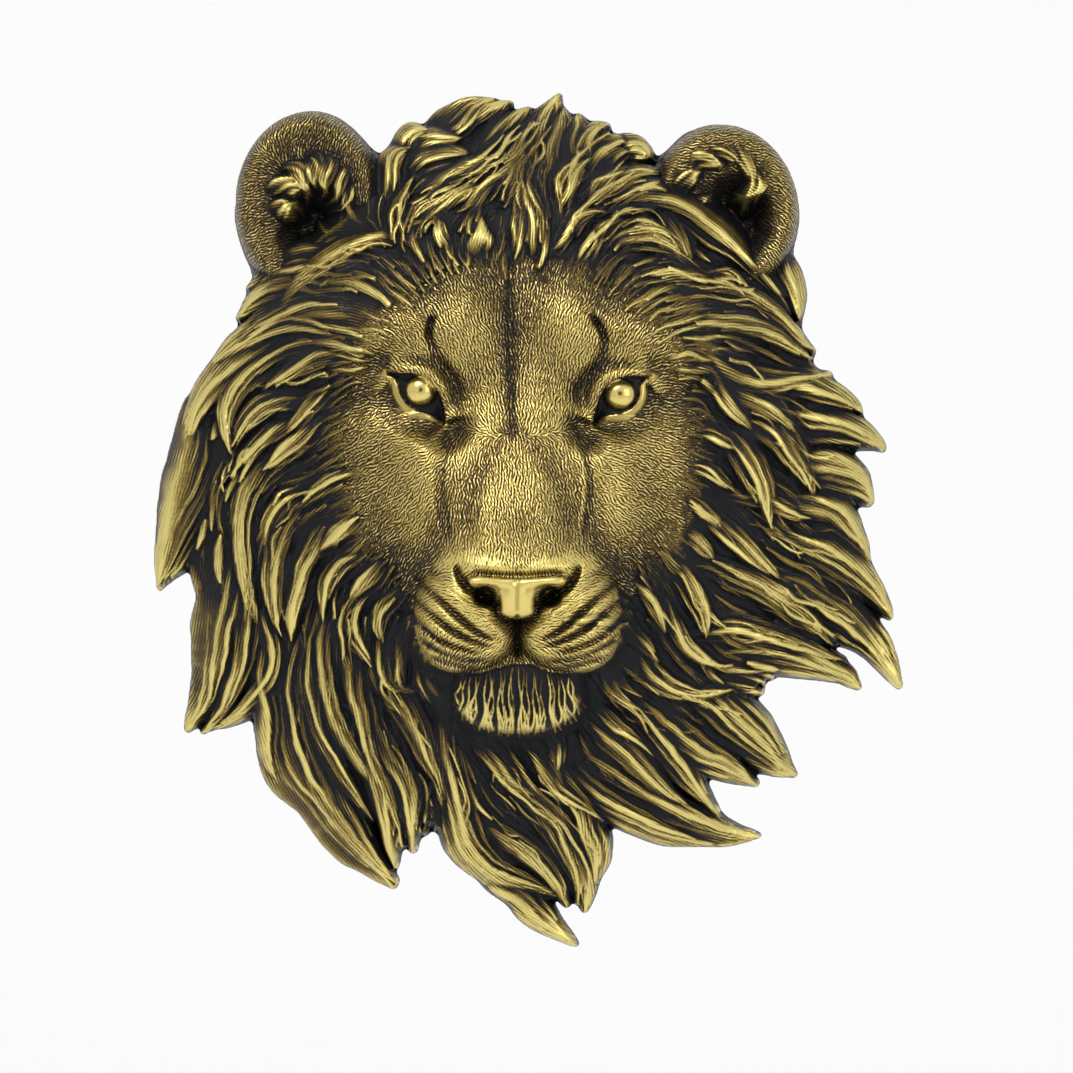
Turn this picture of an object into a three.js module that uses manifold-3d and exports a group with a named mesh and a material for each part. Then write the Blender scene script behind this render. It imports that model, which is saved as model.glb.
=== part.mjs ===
// Lion head wall plaque: one cast solid in high relief with a flat back.
// Millimetres, +Z up, +X to the viewer's right, +Y into the wall, back face at Y = 0.
import * as THREE from 'three';
import { mergeVertices } from 'three/addons/utils/BufferGeometryUtils.js';
import Module from 'manifold-3d';

const wasm = await Module();
wasm.setup();

// Driving sizes: crown to lowest lock, and nose to wall
const HEAD_HEIGHT = 230;
const RELIEF_DEPTH = 74;

// The carving is laid out on a head 230 units high and 74 units deep, origin at its middle
const LAYOUT_HEIGHT = 230;
const LAYOUT_DEPTH = 74;
const UNIT = HEAD_HEIGHT / LAYOUT_HEIGHT;
const DEPTH_UNIT = RELIEF_DEPTH / LAYOUT_DEPTH;

// Facet counts
const CORE_SPOKES = 44;
const CORE_RINGS = 36;
const EAR_SPOKES = 20;
const EAR_RINGS = 12;
const LOCK_SIDES = 5;
const LOCK_FEWEST_STEPS = 3;
const LOCK_STEP_LENGTH = 13;
const LID_STEPS = 6;
const LID_SIDES = 6;
const BALL_SEGMENTS = [12, 8];

// The carving runs this far past the wall plane before it is cut flat there
const BACK_TRIM = 2;
// Creases finer than this are left out
const CREASE_TOLERANCE = 0.6;

// Middle line of the face
const FACE_AXIS = -3;

// Mane mass: a low dome whose edge is thin and whose middle carries the face
const MANE = { x: -3, z: 2, halfWidth: 97, halfHeight: 107, edge: 5, rise: 39, fullness: 0.9 };

// Outline of the solid core, clockwise from the crown; the locks reach past it
const CORE_OUTLINE = [
  [-6, 106], [18, 97], [34, 87], [62, 68], [71, 48], [80, 22], [83, -2], [85, -26], [62, -43],
  [43, -61], [21, -76], [-1, -99], [-26, -82], [-48, -79], [-69, -56], [-85, -32], [-93, -4],
  [-87, 28], [-75, 50], [-66, 66], [-38, 89], [-24, 102],
];
// The core's rings close in on the muzzle, and crowd there
const CORE_MIDDLE = { x: FACE_AXIS, z: -12 };
const CORE_CROWDING = 1.12;

// Domes of the face: centre, reach each way, highest depth, fall at that reach, squareness
const SKULL = { x: FACE_AXIS, z: 30, rx: 47, rz: 46, top: 47, fall: 11, power: 2.4 };
const CHEEKS = [-1, 1].map((side) => (
  { x: FACE_AXIS + side * 33, z: 10, rx: 19, rz: 30, top: 41, fall: 9, power: 2 }));
const BROWS = [-1, 1].map((side) => (
  { x: FACE_AXIS + side * 15.5, z: 46, rx: 11, rz: 12, top: 51, fall: 8, power: 2 }));
const OUTER_BROWS = [-1, 1].map((side) => (
  { x: FACE_AXIS + side * 29.5, z: 43, rx: 12, rz: 7, top: 46.5, fall: 6, power: 2 }));
const JAW = { x: FACE_AXIS, z: -20, rx: 30, rz: 34, top: 50, fall: 16, power: 3 };

// Whisker pads and chin: balls sunk in the jaw, by centre, reach each way and highest depth
const MUZZLE_BALLS = [
  { x: FACE_AXIS - 12.8, z: -25.5, rx: 15, rz: 14.5, ry: 20, top: 67 },
  { x: FACE_AXIS + 12.8, z: -25.5, rx: 15, rz: 14.5, ry: 20, top: 67 },
  { x: FACE_AXIS, z: -44.5, rx: 17, rz: 13, ry: 20, top: 59 },
];

// Bridge of the nose: depth along the middle line, from the forehead down to the nose
const BRIDGE_DEPTHS = [[70, 36], [50, 45], [32, 50], [16, 55], [0, 62.5], [-12, 70.5], [-20, 70]];
const BRIDGE_HALF_WIDTH = 20;
const BRIDGE_SIDE_FALL = 20;
const BRIDGE_SQUARENESS = 3;
const BRIDGE_FOOT_SLOPE = 2;

// Hollows and creases of the face: centre, reach each way, depth of the dip
const SOCKETS = [[-29, 31.5], [24, 30.5]].map(([x, z]) => ({ x, z, rx: 10, rz: 7.5, dip: 8.5 }));
const TEAR_CREASES = [[-20, 21], [14, 21]].map(([x, z]) => ({ x, z, rx: 3, rz: 11, dip: 3 }));
const BROW_SLITS = [[-24, 48], [18.5, 48]].map(([x, z]) => ({ x, z, rx: 2.6, rz: 7, dip: 3 }));
const FOREHEAD_GROOVE = { x: FACE_AXIS - 1, z: 45, rx: 3, rz: 15, dip: 3.2 };
const CHEEK_HOLLOWS = [[-28, 0], [22, 0]].map(([x, z]) => ({ x, z, rx: 7, rz: 12, dip: 3 }));
const DIPS = [...SOCKETS, ...TEAR_CREASES, ...BROW_SLITS, FOREHEAD_GROOVE, ...CHEEK_HOLLOWS];

// Eyes: middle of the ball and its depth, lids as arcs from the outer to the inner corner
const EYES = [
  { x: -28.6, z: 31.8, outer: [-37, 37], inner: [-21, 24.5] },
  { x: 23.6, z: 31.2, outer: [31.5, 36.8], inner: [15.8, 24.2] },
];
const EYEBALL_RADIUS = 7;
const EYEBALL_DEPTH = 43.5;
const LID_THICKNESS = 2.8;
const UPPER_LID_RISE = 5.8;
const LOWER_LID_DROP = 5.4;
const LID_OVERHANG = -0.4;

// Nose pad: half outline from the middle of its top edge round to its foot
const NOSE_HALF = [[0, -14.5], [9, -14], [14.5, -11.5], [13.5, -16], [8, -21.5], [2.5, -24.5], [0, -26]];
const NOSE_MIDDLE = -18;
const NOSE_FRONT = 71;
const NOSE_THICKNESS = 14;
const NOSE_BEVEL = 2;
const NOSE_TILT = 22;
const NOSTRIL = { offset: 9, z: -18.3, depth: 71.5, rx: 3.4, ry: 3.1, rz: 2.4 };

// Ears: a rolled rim round a cup, with a tuft growing out of the inner side
const EARS = [
  { x: -59.5, z: 84, rx: 20.3, rz: 25.6, rim: 23, cup: 9, rimAt: 0.72, cupAt: 0.42 },
  { x: 51.8, z: 82, rx: 20.4, rz: 24, rim: 23, cup: 9, rimAt: 0.76, cupAt: 0.46 },
];

const EAR_EDGE = 3;

// Locks of the mane: root x z, middle x z, tip x z, width.
// Left side, from the ear down
const LEFT_LOCKS = [
  [-55, 73, -69, 66, -79, 59, 9],
  [-45, 58, -63, 57, -82, 49, 8],
  [-45, 51, -69, 53, -87, 41, 8],
  [-48, 45, -60, 43, -72, 35, 7],
  [-62, 46, -79, 36, -80, 17, 9],
  [-60, 33, -72, 30, -80, 19, 7],
  [-60, 28, -72, 21, -79, 10, 6],
  [-54, 35, -61, 28, -66, 22, 6],
  [-50, 29, -60, 22, -71, 12, 7],
  [-78, 50, -90, 32, -96, 13, 13],
  [-84, 34, -91, 8, -100, -17.5, 20],
  [-68, 15, -75.5, -5, -73, -29, 7],
  [-80, -4, -82, -32, -93.5, -57, 19],
  [-70, -28, -70, -46, -86, -57, 9],
  [-50, 3, -60, -12, -63.5, -33, 8],
  [-47, 9, -63, 4, -71, -14, 6],
  [-62, -1, -68, -14, -66, -32, 7],
  [-43, -7, -51, -15, -53, -27, 7],
  [-39, -16, -46, -27, -41, -40, 6],
];

// Lower left and beard
const BEARD_LOCKS = [
  [-70, -36, -71, -54, -64, -74, 10],
  [-64, -36, -62, -68, -37, -99.5, 18],
  [-58, -30, -58, -54, -44, -82, 10],
  [-51, -26, -51, -52, -37, -79, 10],
  [-37, -32, -37, -42, -29, -46, 6],
  [-38, -42, -30, -58, -25, -79, 10],
  [-46, -38, -40, -62, -31, -90, 11],
  [-21, -55, -14, -90, 10, -103, 15],
  [-15, -90, -2, -104, 12.8, -115, 9],
  [-9, -63, 9, -84, 14.5, -106, 16],
  [-18, -53, -8, -66, 8, -75, 7],
  [-6, -57, 5, -66, 14, -79, 7],
  [8, -56, 32, -76, 61.7, -87, 17],
  [14, -69, 29, -80, 49, -88, 9],
  [0, -60, 12, -73, 21, -81, 9],
];

// Right side, from the beard up
const RIGHT_LOCKS = [
  [12, -47, 26, -61, 45, -78, 9],
  [19, -41, 36, -58, 51, -79, 9],
  [27, -35, 39, -45, 54, -46, 7],
  [34, -20, 40, -33, 50, -40, 6],
  [33, -51, 46, -62, 63, -70, 9],
  [44, -47, 57, -57, 72.5, -68, 14],
  [58, -36, 76, -39, 90.5, -48, 11],
  [48, -29, 62, -31, 84, -38, 9],
  [60, -13, 82, -25, 101.5, -47, 13],
  [44, -13, 60, -17, 80, -33, 8],
  [67, -4, 83, -12, 95.5, -27, 13],
  [72, 5, 84, 0, 90.5, -12, 11],
  [70, 15, 84, 10, 93, 3, 12],
  [70, 27, 84, 22, 94, 16.5, 10],
  [68, 37, 80, 33, 87.5, 26.5, 9],
  [40, 44, 60, 37, 80.5, 38.5, 7],
  [56, 29, 68, 21, 75, 7, 9],
  [48, 36, 62, 32, 71, 22, 7],
  [40, 38, 50, 35, 59, 25, 6],
  [50, 28, 59, 15, 64, -1, 8],
  [57, 7, 66, 5, 76, 2, 6],
  [46, 4, 55, -5, 66, -15, 7],
  [35, -12, 43, -21, 46, -32, 7],
];

// Crown, from the left ear over to the right
const CROWN_LOCKS = [
  [-50, 66, -42, 72, -33, 73, 8],
  [-30, 67, -48, 79, -33, 90, 7],
  [-34, 75, -25, 78, -16, 80, 6],
  [-20, 62, -25, 70, -29, 79, 7],
  [-12, 64, -14, 74, -12, 85, 7],
  [-1, 62, -2, 78, 3, 91, 9],
  [8, 63, 11, 73, 12, 85, 7],
  [15, 61, 20, 69, 24, 80, 7],
  [-24, 85, -16, 90, -6, 94, 7],
  [-16, 82, -9, 88, -1, 92, 6],
  [6, 84, 12, 91, 18, 97, 7],
  [14, 83, 20, 89, 27, 93, 7],
  [-37, 90, -25, 95, -11, 96, 7],
  [-38, 95, -28, 99, -16, 103, 8],
  [-28, 93, -31, 100, -33, 104.5, 9],
  [-18, 95, -21, 103, -23, 109.5, 10],
  [-8, 96, -10, 106, -11, 114, 11],
  [0, 93, 2, 104, 7.5, 115.5, 10],
  [10, 93, 12, 102, 13, 110, 10],
  [18, 91, 20, 98, 22, 104, 9],
  [26, 87, 28, 93, 29, 98.5, 8],
  [31, 91, 48, 78, 70, 54, 9],
  [30, 80, 40, 75, 46, 64, 7],
  [22, 74, 36, 74, 46, 65, 7],
  [32, 62, 40, 64, 48, 62, 6],
  [34, 56, 54, 58, 75, 45, 9],
  [44, 50, 60, 50, 74, 43, 8],
  [61, 74, 69, 64, 72, 53, 9],
];
const LOCKS = [...LEFT_LOCKS, ...BEARD_LOCKS, ...RIGHT_LOCKS, ...CROWN_LOCKS];

// A lock's crest stands this far over the mane at its highest, its crown falls by a share of
// its width, and its keel runs this far down into the mass behind it
const LOCK_LIFT = 5;
const LOCK_CROWN = 0.42;
const LOCK_KEEL = 14;
// A lock this wide has the full lift; a narrower one lies lower
const LOCK_FULL_WIDTH = 8;
// Lift along a lock: a share at the root, the whole past the middle, a little less at the tip
const LIFT_AT_ROOT = 0.15;
const LIFT_PEAK = 0.65;
// Width along a lock: a share at the root, full at the middle, and how bluntly the tip closes
const WIDTH_AT_ROOT = 0.6;
const WIDEST_AT = 0.5;
const TIP_START = 2.6;
const TIP_BLUNTNESS = 0.75;
const TIP_WIDTH = 0.06;

// Short ruff round the face, where the fur turns into mane; each tuft leans down and out
const RUFF = { count: 18, rx: 44, rz: 55, z: 12, length: 14, width: 9, from: -55, to: 235 };
const RUFF_LEAN = 0.5;
const RUFF_SUNK = 0.3;

// How widely the forms of the face melt into each other
const SOFT = { skull: 5, cheek: 4, brow: 3 };

// A ball's points this near its equator belong to the back
const EQUATOR = -1e-6;
// Distance from the middle of a lock's section at which a point counts as a side
const SECTION_SIDE = 0.1;

function smoothMax(a, b, blend) {
  const share = Math.max(0, Math.min(1, 0.5 + (0.5 * (a - b)) / blend));
  return b + (a - b) * share + blend * share * (1 - share);
}

// Depth of a rounded dome over the wall, which falls away without end past its reach
function domeDepth({ x: cx, z: cz, rx, rz, top, fall, power }, x, z) {
  const across = Math.pow(Math.abs(x - cx) / rx, power);
  const up = Math.pow(Math.abs(z - cz) / rz, power);
  return top - fall * (across + up);
}

function dipDepth({ x: cx, z: cz, rx, rz, dip }, x, z) {
  return dip * Math.exp(-Math.pow((x - cx) / rx, 2) - Math.pow((z - cz) / rz, 2));
}

function maneDepth(x, z) {
  const across = (x - MANE.x) / MANE.halfWidth;
  const up = (z - MANE.z) / MANE.halfHeight;
  const inside = Math.max(0, 1 - across * across - up * up);
  return MANE.edge + MANE.rise * Math.pow(inside, MANE.fullness);
}

// The mass that the hair grows from: the mane's dome with the skull in it
function massDepth(x, z) {
  return smoothMax(maneDepth(x, z), domeDepth(SKULL, x, z), SOFT.skull);
}

// Depth along the bridge by smooth steps between its named points, and its steep sides
function bridgeDepth(x, z) {
  const [crown, foot] = [BRIDGE_DEPTHS[0], BRIDGE_DEPTHS[BRIDGE_DEPTHS.length - 1]];
  let ridge = z > crown[0] ? crown[1] - (z - crown[0]) : foot[1] - BRIDGE_FOOT_SLOPE * (foot[0] - z);
  for (let i = 0; i < BRIDGE_DEPTHS.length - 1; i += 1) {
    const [topZ, topDepth] = BRIDGE_DEPTHS[i];
    const [lowZ, lowDepth] = BRIDGE_DEPTHS[i + 1];
    if (z <= topZ && z >= lowZ) {
      ridge = topDepth + ((topZ - z) / (topZ - lowZ)) * (lowDepth - topDepth);
    }
  }
  const off = Math.abs(x - FACE_AXIS) / BRIDGE_HALF_WIDTH;
  return ridge - BRIDGE_SIDE_FALL * Math.pow(off, BRIDGE_SQUARENESS);
}

// Front of the core: the mane's dome with the face raised out of it
function coreDepth(x, z) {
  let depth = smoothMax(massDepth(x, z), domeDepth(JAW, x, z), SOFT.skull);
  for (const cheek of CHEEKS) {
    depth = smoothMax(depth, domeDepth(cheek, x, z), SOFT.cheek);
  }
  depth = smoothMax(depth, bridgeDepth(x, z), SOFT.skull);
  for (const brow of [...BROWS, ...OUTER_BROWS]) {
    depth = smoothMax(depth, domeDepth(brow, x, z), SOFT.brow);
  }
  for (const dip of DIPS) {
    depth -= dipDepth(dip, x, z);
  }
  return depth;
}

// A closed three.js geometry, laid out in units, as a manifold solid at its real size
function toSolid(geometry) {
  const bare = geometry.clone();
  bare.deleteAttribute('normal');
  bare.deleteAttribute('uv');
  const merged = mergeVertices(bare).scale(UNIT, DEPTH_UNIT, UNIT);
  const vertProperties = new Float32Array(merged.attributes.position.array);
  const triVerts = new Uint32Array(merged.index.array);
  return new wasm.Manifold(new wasm.Mesh({ numProp: 3, vertProperties, triVerts }));
}

// A relief, flat behind: a ball with its pole along Y, whose front half takes the carved depth
function reliefSolid(spokes, rings, outline, depthAt) {
  const geometry = new THREE.SphereGeometry(1, spokes, rings);
  const position = geometry.attributes.position;
  for (let i = 0; i < position.count; i += 1) {
    const front = position.getY(i);
    const reach = Math.acos(Math.min(1, Math.abs(front))) / (Math.PI / 2);
    const angle = Math.atan2(position.getZ(i), position.getX(i));
    const [x, z] = outline(angle, reach);
    position.setXYZ(i, x, front > EQUATOR ? BACK_TRIM : -depthAt(x, z, reach), z);
  }
  return toSolid(geometry);
}

// Distance from the core's middle to its outline in one direction
function coreReach(angle) {
  const corners = CORE_OUTLINE.map(([x, z]) => new THREE.Vector2(x - CORE_MIDDLE.x, z - CORE_MIDDLE.z));
  const ahead = new THREE.Vector2(Math.cos(angle), Math.sin(angle));
  for (let i = 0; i < corners.length; i += 1) {
    const start = corners[i];
    const side = corners[(i + 1) % corners.length].clone().sub(start);
    const turn = ahead.cross(side);
    const reach = start.cross(side) / turn;
    const along = start.cross(ahead) / turn;
    if (reach > 0 && along >= 0 && along <= 1) {
      return reach;
    }
  }
  return MANE.halfWidth;
}

function buildCore() {
  return reliefSolid(CORE_SPOKES, CORE_RINGS, (angle, reach) => {
    const distance = coreReach(angle) * Math.pow(reach, CORE_CROWDING);
    return [CORE_MIDDLE.x + distance * Math.cos(angle), CORE_MIDDLE.z + distance * Math.sin(angle)];
  }, coreDepth);
}

// Depth of an ear: the rolled rim, its cup, and its outer side down to the wall
function earDepth(ear, reach) {
  if (reach > ear.rimAt) {
    const out = (reach - ear.rimAt) / (1 - ear.rimAt);
    return EAR_EDGE + (ear.rim - EAR_EDGE) * Math.sqrt(Math.max(0, 1 - out * out));
  }
  const into = Math.min(1, (ear.rimAt - reach) / (ear.rimAt - ear.cupAt));
  return ear.cup + (ear.rim - ear.cup) * (0.5 + 0.5 * Math.cos(Math.PI * into));
}

function buildEar(ear) {
  return reliefSolid(EAR_SPOKES, EAR_RINGS, (angle, reach) => [
    ear.x + ear.rx * reach * Math.cos(angle),
    ear.z + ear.rz * reach * Math.sin(angle),
  ], (x, z, reach) => earDepth(ear, reach));
}

// Width of a lock along its length, as a share of its full width
function lockWidth(t) {
  const swell = Math.sin((Math.min(1, t / WIDEST_AT) * Math.PI) / 2);
  const taper = Math.pow(Math.max(0, 1 - Math.pow(t, TIP_START)), TIP_BLUNTNESS);
  return Math.max(TIP_WIDTH, (WIDTH_AT_ROOT + (1 - WIDTH_AT_ROOT) * swell) * taper);
}

// Height of a lock's crest over the mane, as a share of the full lift
function lockLift(t) {
  return LIFT_AT_ROOT + (1 - LIFT_AT_ROOT) * Math.sin((t / LIFT_PEAK) * (Math.PI / 2));
}

// A lock: a closed rod bent along the curve through its three points, with a ridged front and
// upright sides
function buildLock([rootX, rootZ, midX, midZ, tipX, tipZ, width]) {
  const root = new THREE.Vector2(rootX, rootZ);
  const tip = new THREE.Vector2(tipX, tipZ);
  const bend = new THREE.Vector2(2 * midX - (rootX + tipX) / 2, 2 * midZ - (rootZ + tipZ) / 2);
  const curve = new THREE.QuadraticBezierCurve(root, bend, tip);
  const steps = Math.max(LOCK_FEWEST_STEPS, Math.round(curve.getLength() / LOCK_STEP_LENGTH));
  const geometry = new THREE.CylinderGeometry(1, 1, 1, LOCK_SIDES, steps);
  const position = geometry.attributes.position;
  for (let i = 0; i < position.count; i += 1) {
    const t = position.getY(i) + 0.5;
    const across = Math.abs(position.getX(i)) > SECTION_SIDE ? Math.sign(position.getX(i)) : 0;
    const front = position.getZ(i);
    const middle = curve.getPoint(t);
    const along = curve.getTangent(t);
    const half = (width / 2) * lockWidth(t);
    const lift = LOCK_LIFT * lockLift(t) * Math.min(1, width / LOCK_FULL_WIDTH);
    const crest = massDepth(middle.x, middle.y) + lift;
    const edge = crest - 2 * half * LOCK_CROWN;
    let depth = edge;
    if (across === 0 && front > SECTION_SIDE) {
      depth = crest;
    }
    if (across !== 0 && front < 0) {
      depth = edge - LOCK_KEEL;
    }
    position.setXYZ(i, middle.x + along.y * across * half, Math.min(BACK_TRIM, -depth),
      middle.y - along.x * across * half);
  }
  return toSolid(geometry);
}

function buildRuff() {
  const tufts = [];
  for (let i = 0; i < RUFF.count; i += 1) {
    const degrees = RUFF.from + ((RUFF.to - RUFF.from) * i) / (RUFF.count - 1);
    const angle = THREE.MathUtils.degToRad(degrees);
    const x = FACE_AXIS + RUFF.rx * Math.cos(angle);
    const z = RUFF.z + RUFF.rz * Math.sin(angle);
    const lean = angle - Math.sign(Math.cos(angle)) * RUFF_LEAN;
    const outX = RUFF.length * Math.cos(lean);
    const outZ = RUFF.length * Math.sin(lean);
    tufts.push(buildLock([x - outX * RUFF_SUNK, z - outZ * RUFF_SUNK, x + outX / 2, z + outZ / 2,
      x + outX, z + outZ, RUFF.width]));
  }
  return tufts;
}

// A round bar along an arc between two corners, swung up or down at its middle
function buildLid({ outer, inner }, rise) {
  const middle = [(outer[0] + inner[0]) / 2, (outer[1] + inner[1]) / 2];
  const route = [outer, [middle[0], middle[1] + rise], inner].map(([x, z], i) => {
    const depth = i === 1 ? EYEBALL_DEPTH : Math.min(EYEBALL_DEPTH, coreDepth(x, z));
    return new THREE.Vector3(x, -(depth + LID_OVERHANG), z);
  });
  const corners = Array.from({ length: LID_SIDES }, (_, i) => {
    const angle = (2 * Math.PI * i) / LID_SIDES;
    return new THREE.Vector2(Math.cos(angle), Math.sin(angle)).multiplyScalar(LID_THICKNESS / 2);
  });
  return toSolid(new THREE.ExtrudeGeometry(new THREE.Shape(corners), {
    steps: LID_STEPS, bevelEnabled: false, extrudePath: new THREE.CatmullRomCurve3(route),
  }));
}

function buildMuzzleBall({ x, z, rx, rz, ry, top }) {
  const ball = new THREE.SphereGeometry(1, ...BALL_SEGMENTS);
  ball.scale(rx, ry, rz);
  ball.translate(x, ry - top, z);
  return toSolid(ball);
}

function buildEye(eye) {
  const ball = new THREE.SphereGeometry(EYEBALL_RADIUS, ...BALL_SEGMENTS);
  ball.translate(eye.x, EYEBALL_RADIUS - EYEBALL_DEPTH, eye.z);
  return [toSolid(ball), buildLid(eye, UPPER_LID_RISE), buildLid(eye, -LOWER_LID_DROP)];
}

function buildNosePad() {
  const outline = new THREE.Shape();
  const right = NOSE_HALF.map(([x, z]) => new THREE.Vector2(x, z - NOSE_MIDDLE));
  const left = right.slice(1, -1).reverse().map((point) => new THREE.Vector2(-point.x, point.y));
  outline.setFromPoints([...right, ...left]);
  const geometry = new THREE.ExtrudeGeometry(outline, {
    depth: NOSE_THICKNESS, bevelEnabled: true, bevelThickness: NOSE_BEVEL,
    bevelSize: NOSE_BEVEL, bevelOffset: -NOSE_BEVEL, bevelSegments: 1,
  });
  geometry.translate(0, 0, -(NOSE_THICKNESS + NOSE_BEVEL));
  geometry.rotateX(Math.PI / 2 + THREE.MathUtils.degToRad(NOSE_TILT));
  geometry.translate(FACE_AXIS, -NOSE_FRONT, NOSE_MIDDLE);
  return toSolid(geometry);
}

function buildNostril(side) {
  const hole = new THREE.SphereGeometry(1, ...BALL_SEGMENTS);
  hole.scale(NOSTRIL.rx, NOSTRIL.ry, NOSTRIL.rz);
  hole.translate(FACE_AXIS + side * NOSTRIL.offset, -NOSTRIL.depth, NOSTRIL.z);
  return toSolid(hole);
}

// Everything in front of the wall plane
function buildRoom() {
  const room = new THREE.BoxGeometry(LAYOUT_HEIGHT * 2, LAYOUT_DEPTH * 2, LAYOUT_HEIGHT * 2);
  room.translate(0, -LAYOUT_DEPTH, 0);
  return toSolid(room);
}

// Join the carving, cut it flat behind, and keep its one outer body without closed hollows
function buildHead() {
  const parts = [buildCore(), ...EARS.map(buildEar), ...LOCKS.map(buildLock), ...buildRuff(),
    ...MUZZLE_BALLS.map(buildMuzzleBall), ...EYES.flatMap(buildEye), buildNosePad()];
  let solid = wasm.Manifold.union(parts);
  solid = solid.subtract(wasm.Manifold.union([buildNostril(-1), buildNostril(1)]));
  solid = solid.intersect(buildRoom()).simplify(CREASE_TOLERANCE);
  const bodies = solid.decompose().sort((a, b) => b.volume() - a.volume());
  return bodies[0];
}

function toGeometry(solid) {
  const mesh = solid.getMesh();
  const geometry = new THREE.BufferGeometry();
  const points = [];
  for (let i = 0; i < mesh.numVert; i += 1) {
    points.push(...mesh.vertProperties.slice(i * mesh.numProp, i * mesh.numProp + 3));
  }
  geometry.setAttribute('position', new THREE.Float32BufferAttribute(points, 3));
  geometry.setIndex(Array.from(mesh.triVerts));
  geometry.computeVertexNormals();
  return geometry;
}

const antiqueBrass = new THREE.MeshStandardMaterial({
  name: 'antique brass', color: 0x6b5426, metalness: 0.7, roughness: 0.42,
});
const head = new THREE.Mesh(toGeometry(buildHead()), antiqueBrass);
head.name = 'lion_head';

const plaque = new THREE.Group();
plaque.add(head);

export default plaque;
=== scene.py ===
"""Lion head for the wall, cast in one piece with an antique brass finish, in a pale studio."""

import logging
import math
from dataclasses import dataclass, field
from enum import IntEnum
from typing import Optional, Sequence, Union

import bpy
import numpy as np
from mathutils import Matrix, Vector


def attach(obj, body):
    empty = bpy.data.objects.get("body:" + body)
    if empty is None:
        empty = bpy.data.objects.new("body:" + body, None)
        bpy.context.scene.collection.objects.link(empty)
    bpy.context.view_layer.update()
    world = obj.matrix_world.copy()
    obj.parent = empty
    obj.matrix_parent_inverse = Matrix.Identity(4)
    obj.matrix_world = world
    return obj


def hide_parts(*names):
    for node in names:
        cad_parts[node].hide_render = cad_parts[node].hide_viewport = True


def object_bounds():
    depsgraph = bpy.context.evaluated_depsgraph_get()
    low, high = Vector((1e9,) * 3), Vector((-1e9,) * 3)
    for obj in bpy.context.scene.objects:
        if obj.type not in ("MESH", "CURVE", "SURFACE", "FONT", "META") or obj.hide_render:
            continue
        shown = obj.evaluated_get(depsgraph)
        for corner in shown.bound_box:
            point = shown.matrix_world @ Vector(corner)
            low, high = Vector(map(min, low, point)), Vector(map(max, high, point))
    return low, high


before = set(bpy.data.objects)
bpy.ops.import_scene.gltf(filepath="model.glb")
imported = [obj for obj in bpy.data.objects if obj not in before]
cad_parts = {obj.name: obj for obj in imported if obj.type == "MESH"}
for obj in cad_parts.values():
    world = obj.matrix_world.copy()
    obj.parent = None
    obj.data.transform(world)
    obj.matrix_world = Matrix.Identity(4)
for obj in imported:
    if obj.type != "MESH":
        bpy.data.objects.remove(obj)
CAD_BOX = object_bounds()

LOG = logging.getLogger("lion_head")

Array = np.ndarray
Point = tuple[float, float]
Row = tuple[float, float, float, float, float, float, float]

MM = 0.001
FACE_AXIS = -3.0


class Surface(IntEnum):
    """What a point of the casting shows."""

    CORE = 0
    FUR = 1
    LOCK = 2
    EAR = 3
    EYE = 4
    NOSE = 5


def smooth_step(low: float, high: float, value: Array) -> Array:
    """Ease from 0 at low to 1 at high."""
    t = np.clip((value - low) / (high - low), 0.0, 1.0)
    return t * t * (3.0 - 2.0 * t)


def smooth_max(a: Array, b: Array, blend: float) -> Array:
    """The greater of two depths, with a fillet of about the blend length between them."""
    share = np.clip(0.5 + 0.5 * (a - b) / blend, 0.0, 1.0)
    return b + (a - b) * share + blend * share * (1.0 - share)


def scatter(*keys: Union[float, Array]) -> Array:
    """Repeatable scatter in 0..1 from numbers or arrays of them.

    Args:
        keys: what the scatter hangs on.

    Returns:
        The scatter, as large as the largest key.
    """
    total = np.zeros(np.broadcast(*keys).shape)
    for factor, key in zip((12.9898, 78.233, 37.719, 9.151), keys):
        total = total + np.asarray(key, dtype=float) * factor
    return np.mod(np.sin(total) * 43758.5453, 1.0)


def ripple(x: Array, z: Array, seed: float = 0.0) -> Array:
    """Smooth random lumps in -1..1, one per unit.

    Args:
        x: places across.
        z: places up.
        seed: which lumps.

    Returns:
        The lumps' heights.
    """
    xi, zi = np.floor(x), np.floor(z)
    fx, fz = x - xi, z - zi
    fx, fz = fx * fx * (3 - 2 * fx), fz * fz * (3 - 2 * fz)
    low = scatter(xi, zi, seed) * (1 - fx) + scatter(xi + 1, zi, seed) * fx
    top = scatter(xi, zi + 1, seed) * (1 - fx) + scatter(xi + 1, zi + 1, seed) * fx
    return 2 * (low * (1 - fz) + top * fz) - 1


def blur(values: Array, sigma: float) -> Array:
    """Soften a map by a Gaussian of sigma cells.

    Args:
        values: the map.
        sigma: spread in cells.

    Returns:
        The softened map, of the same size.
    """
    reach = int(math.ceil(3 * sigma))
    taps = np.exp(-0.5 * (np.arange(-reach, reach + 1) / sigma) ** 2)
    taps /= taps.sum()
    out = values
    for axis in (0, 1):
        widths = [(reach, reach) if a == axis else (0, 0) for a in (0, 1)]
        padded = np.pad(out, widths, mode="edge")
        size = out.shape[axis]
        total = np.zeros_like(out)
        for k, tap in enumerate(taps):
            part = padded[k:k + size, :] if axis == 0 else padded[:, k:k + size]
            total += tap * part
        out = total
    return out


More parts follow.
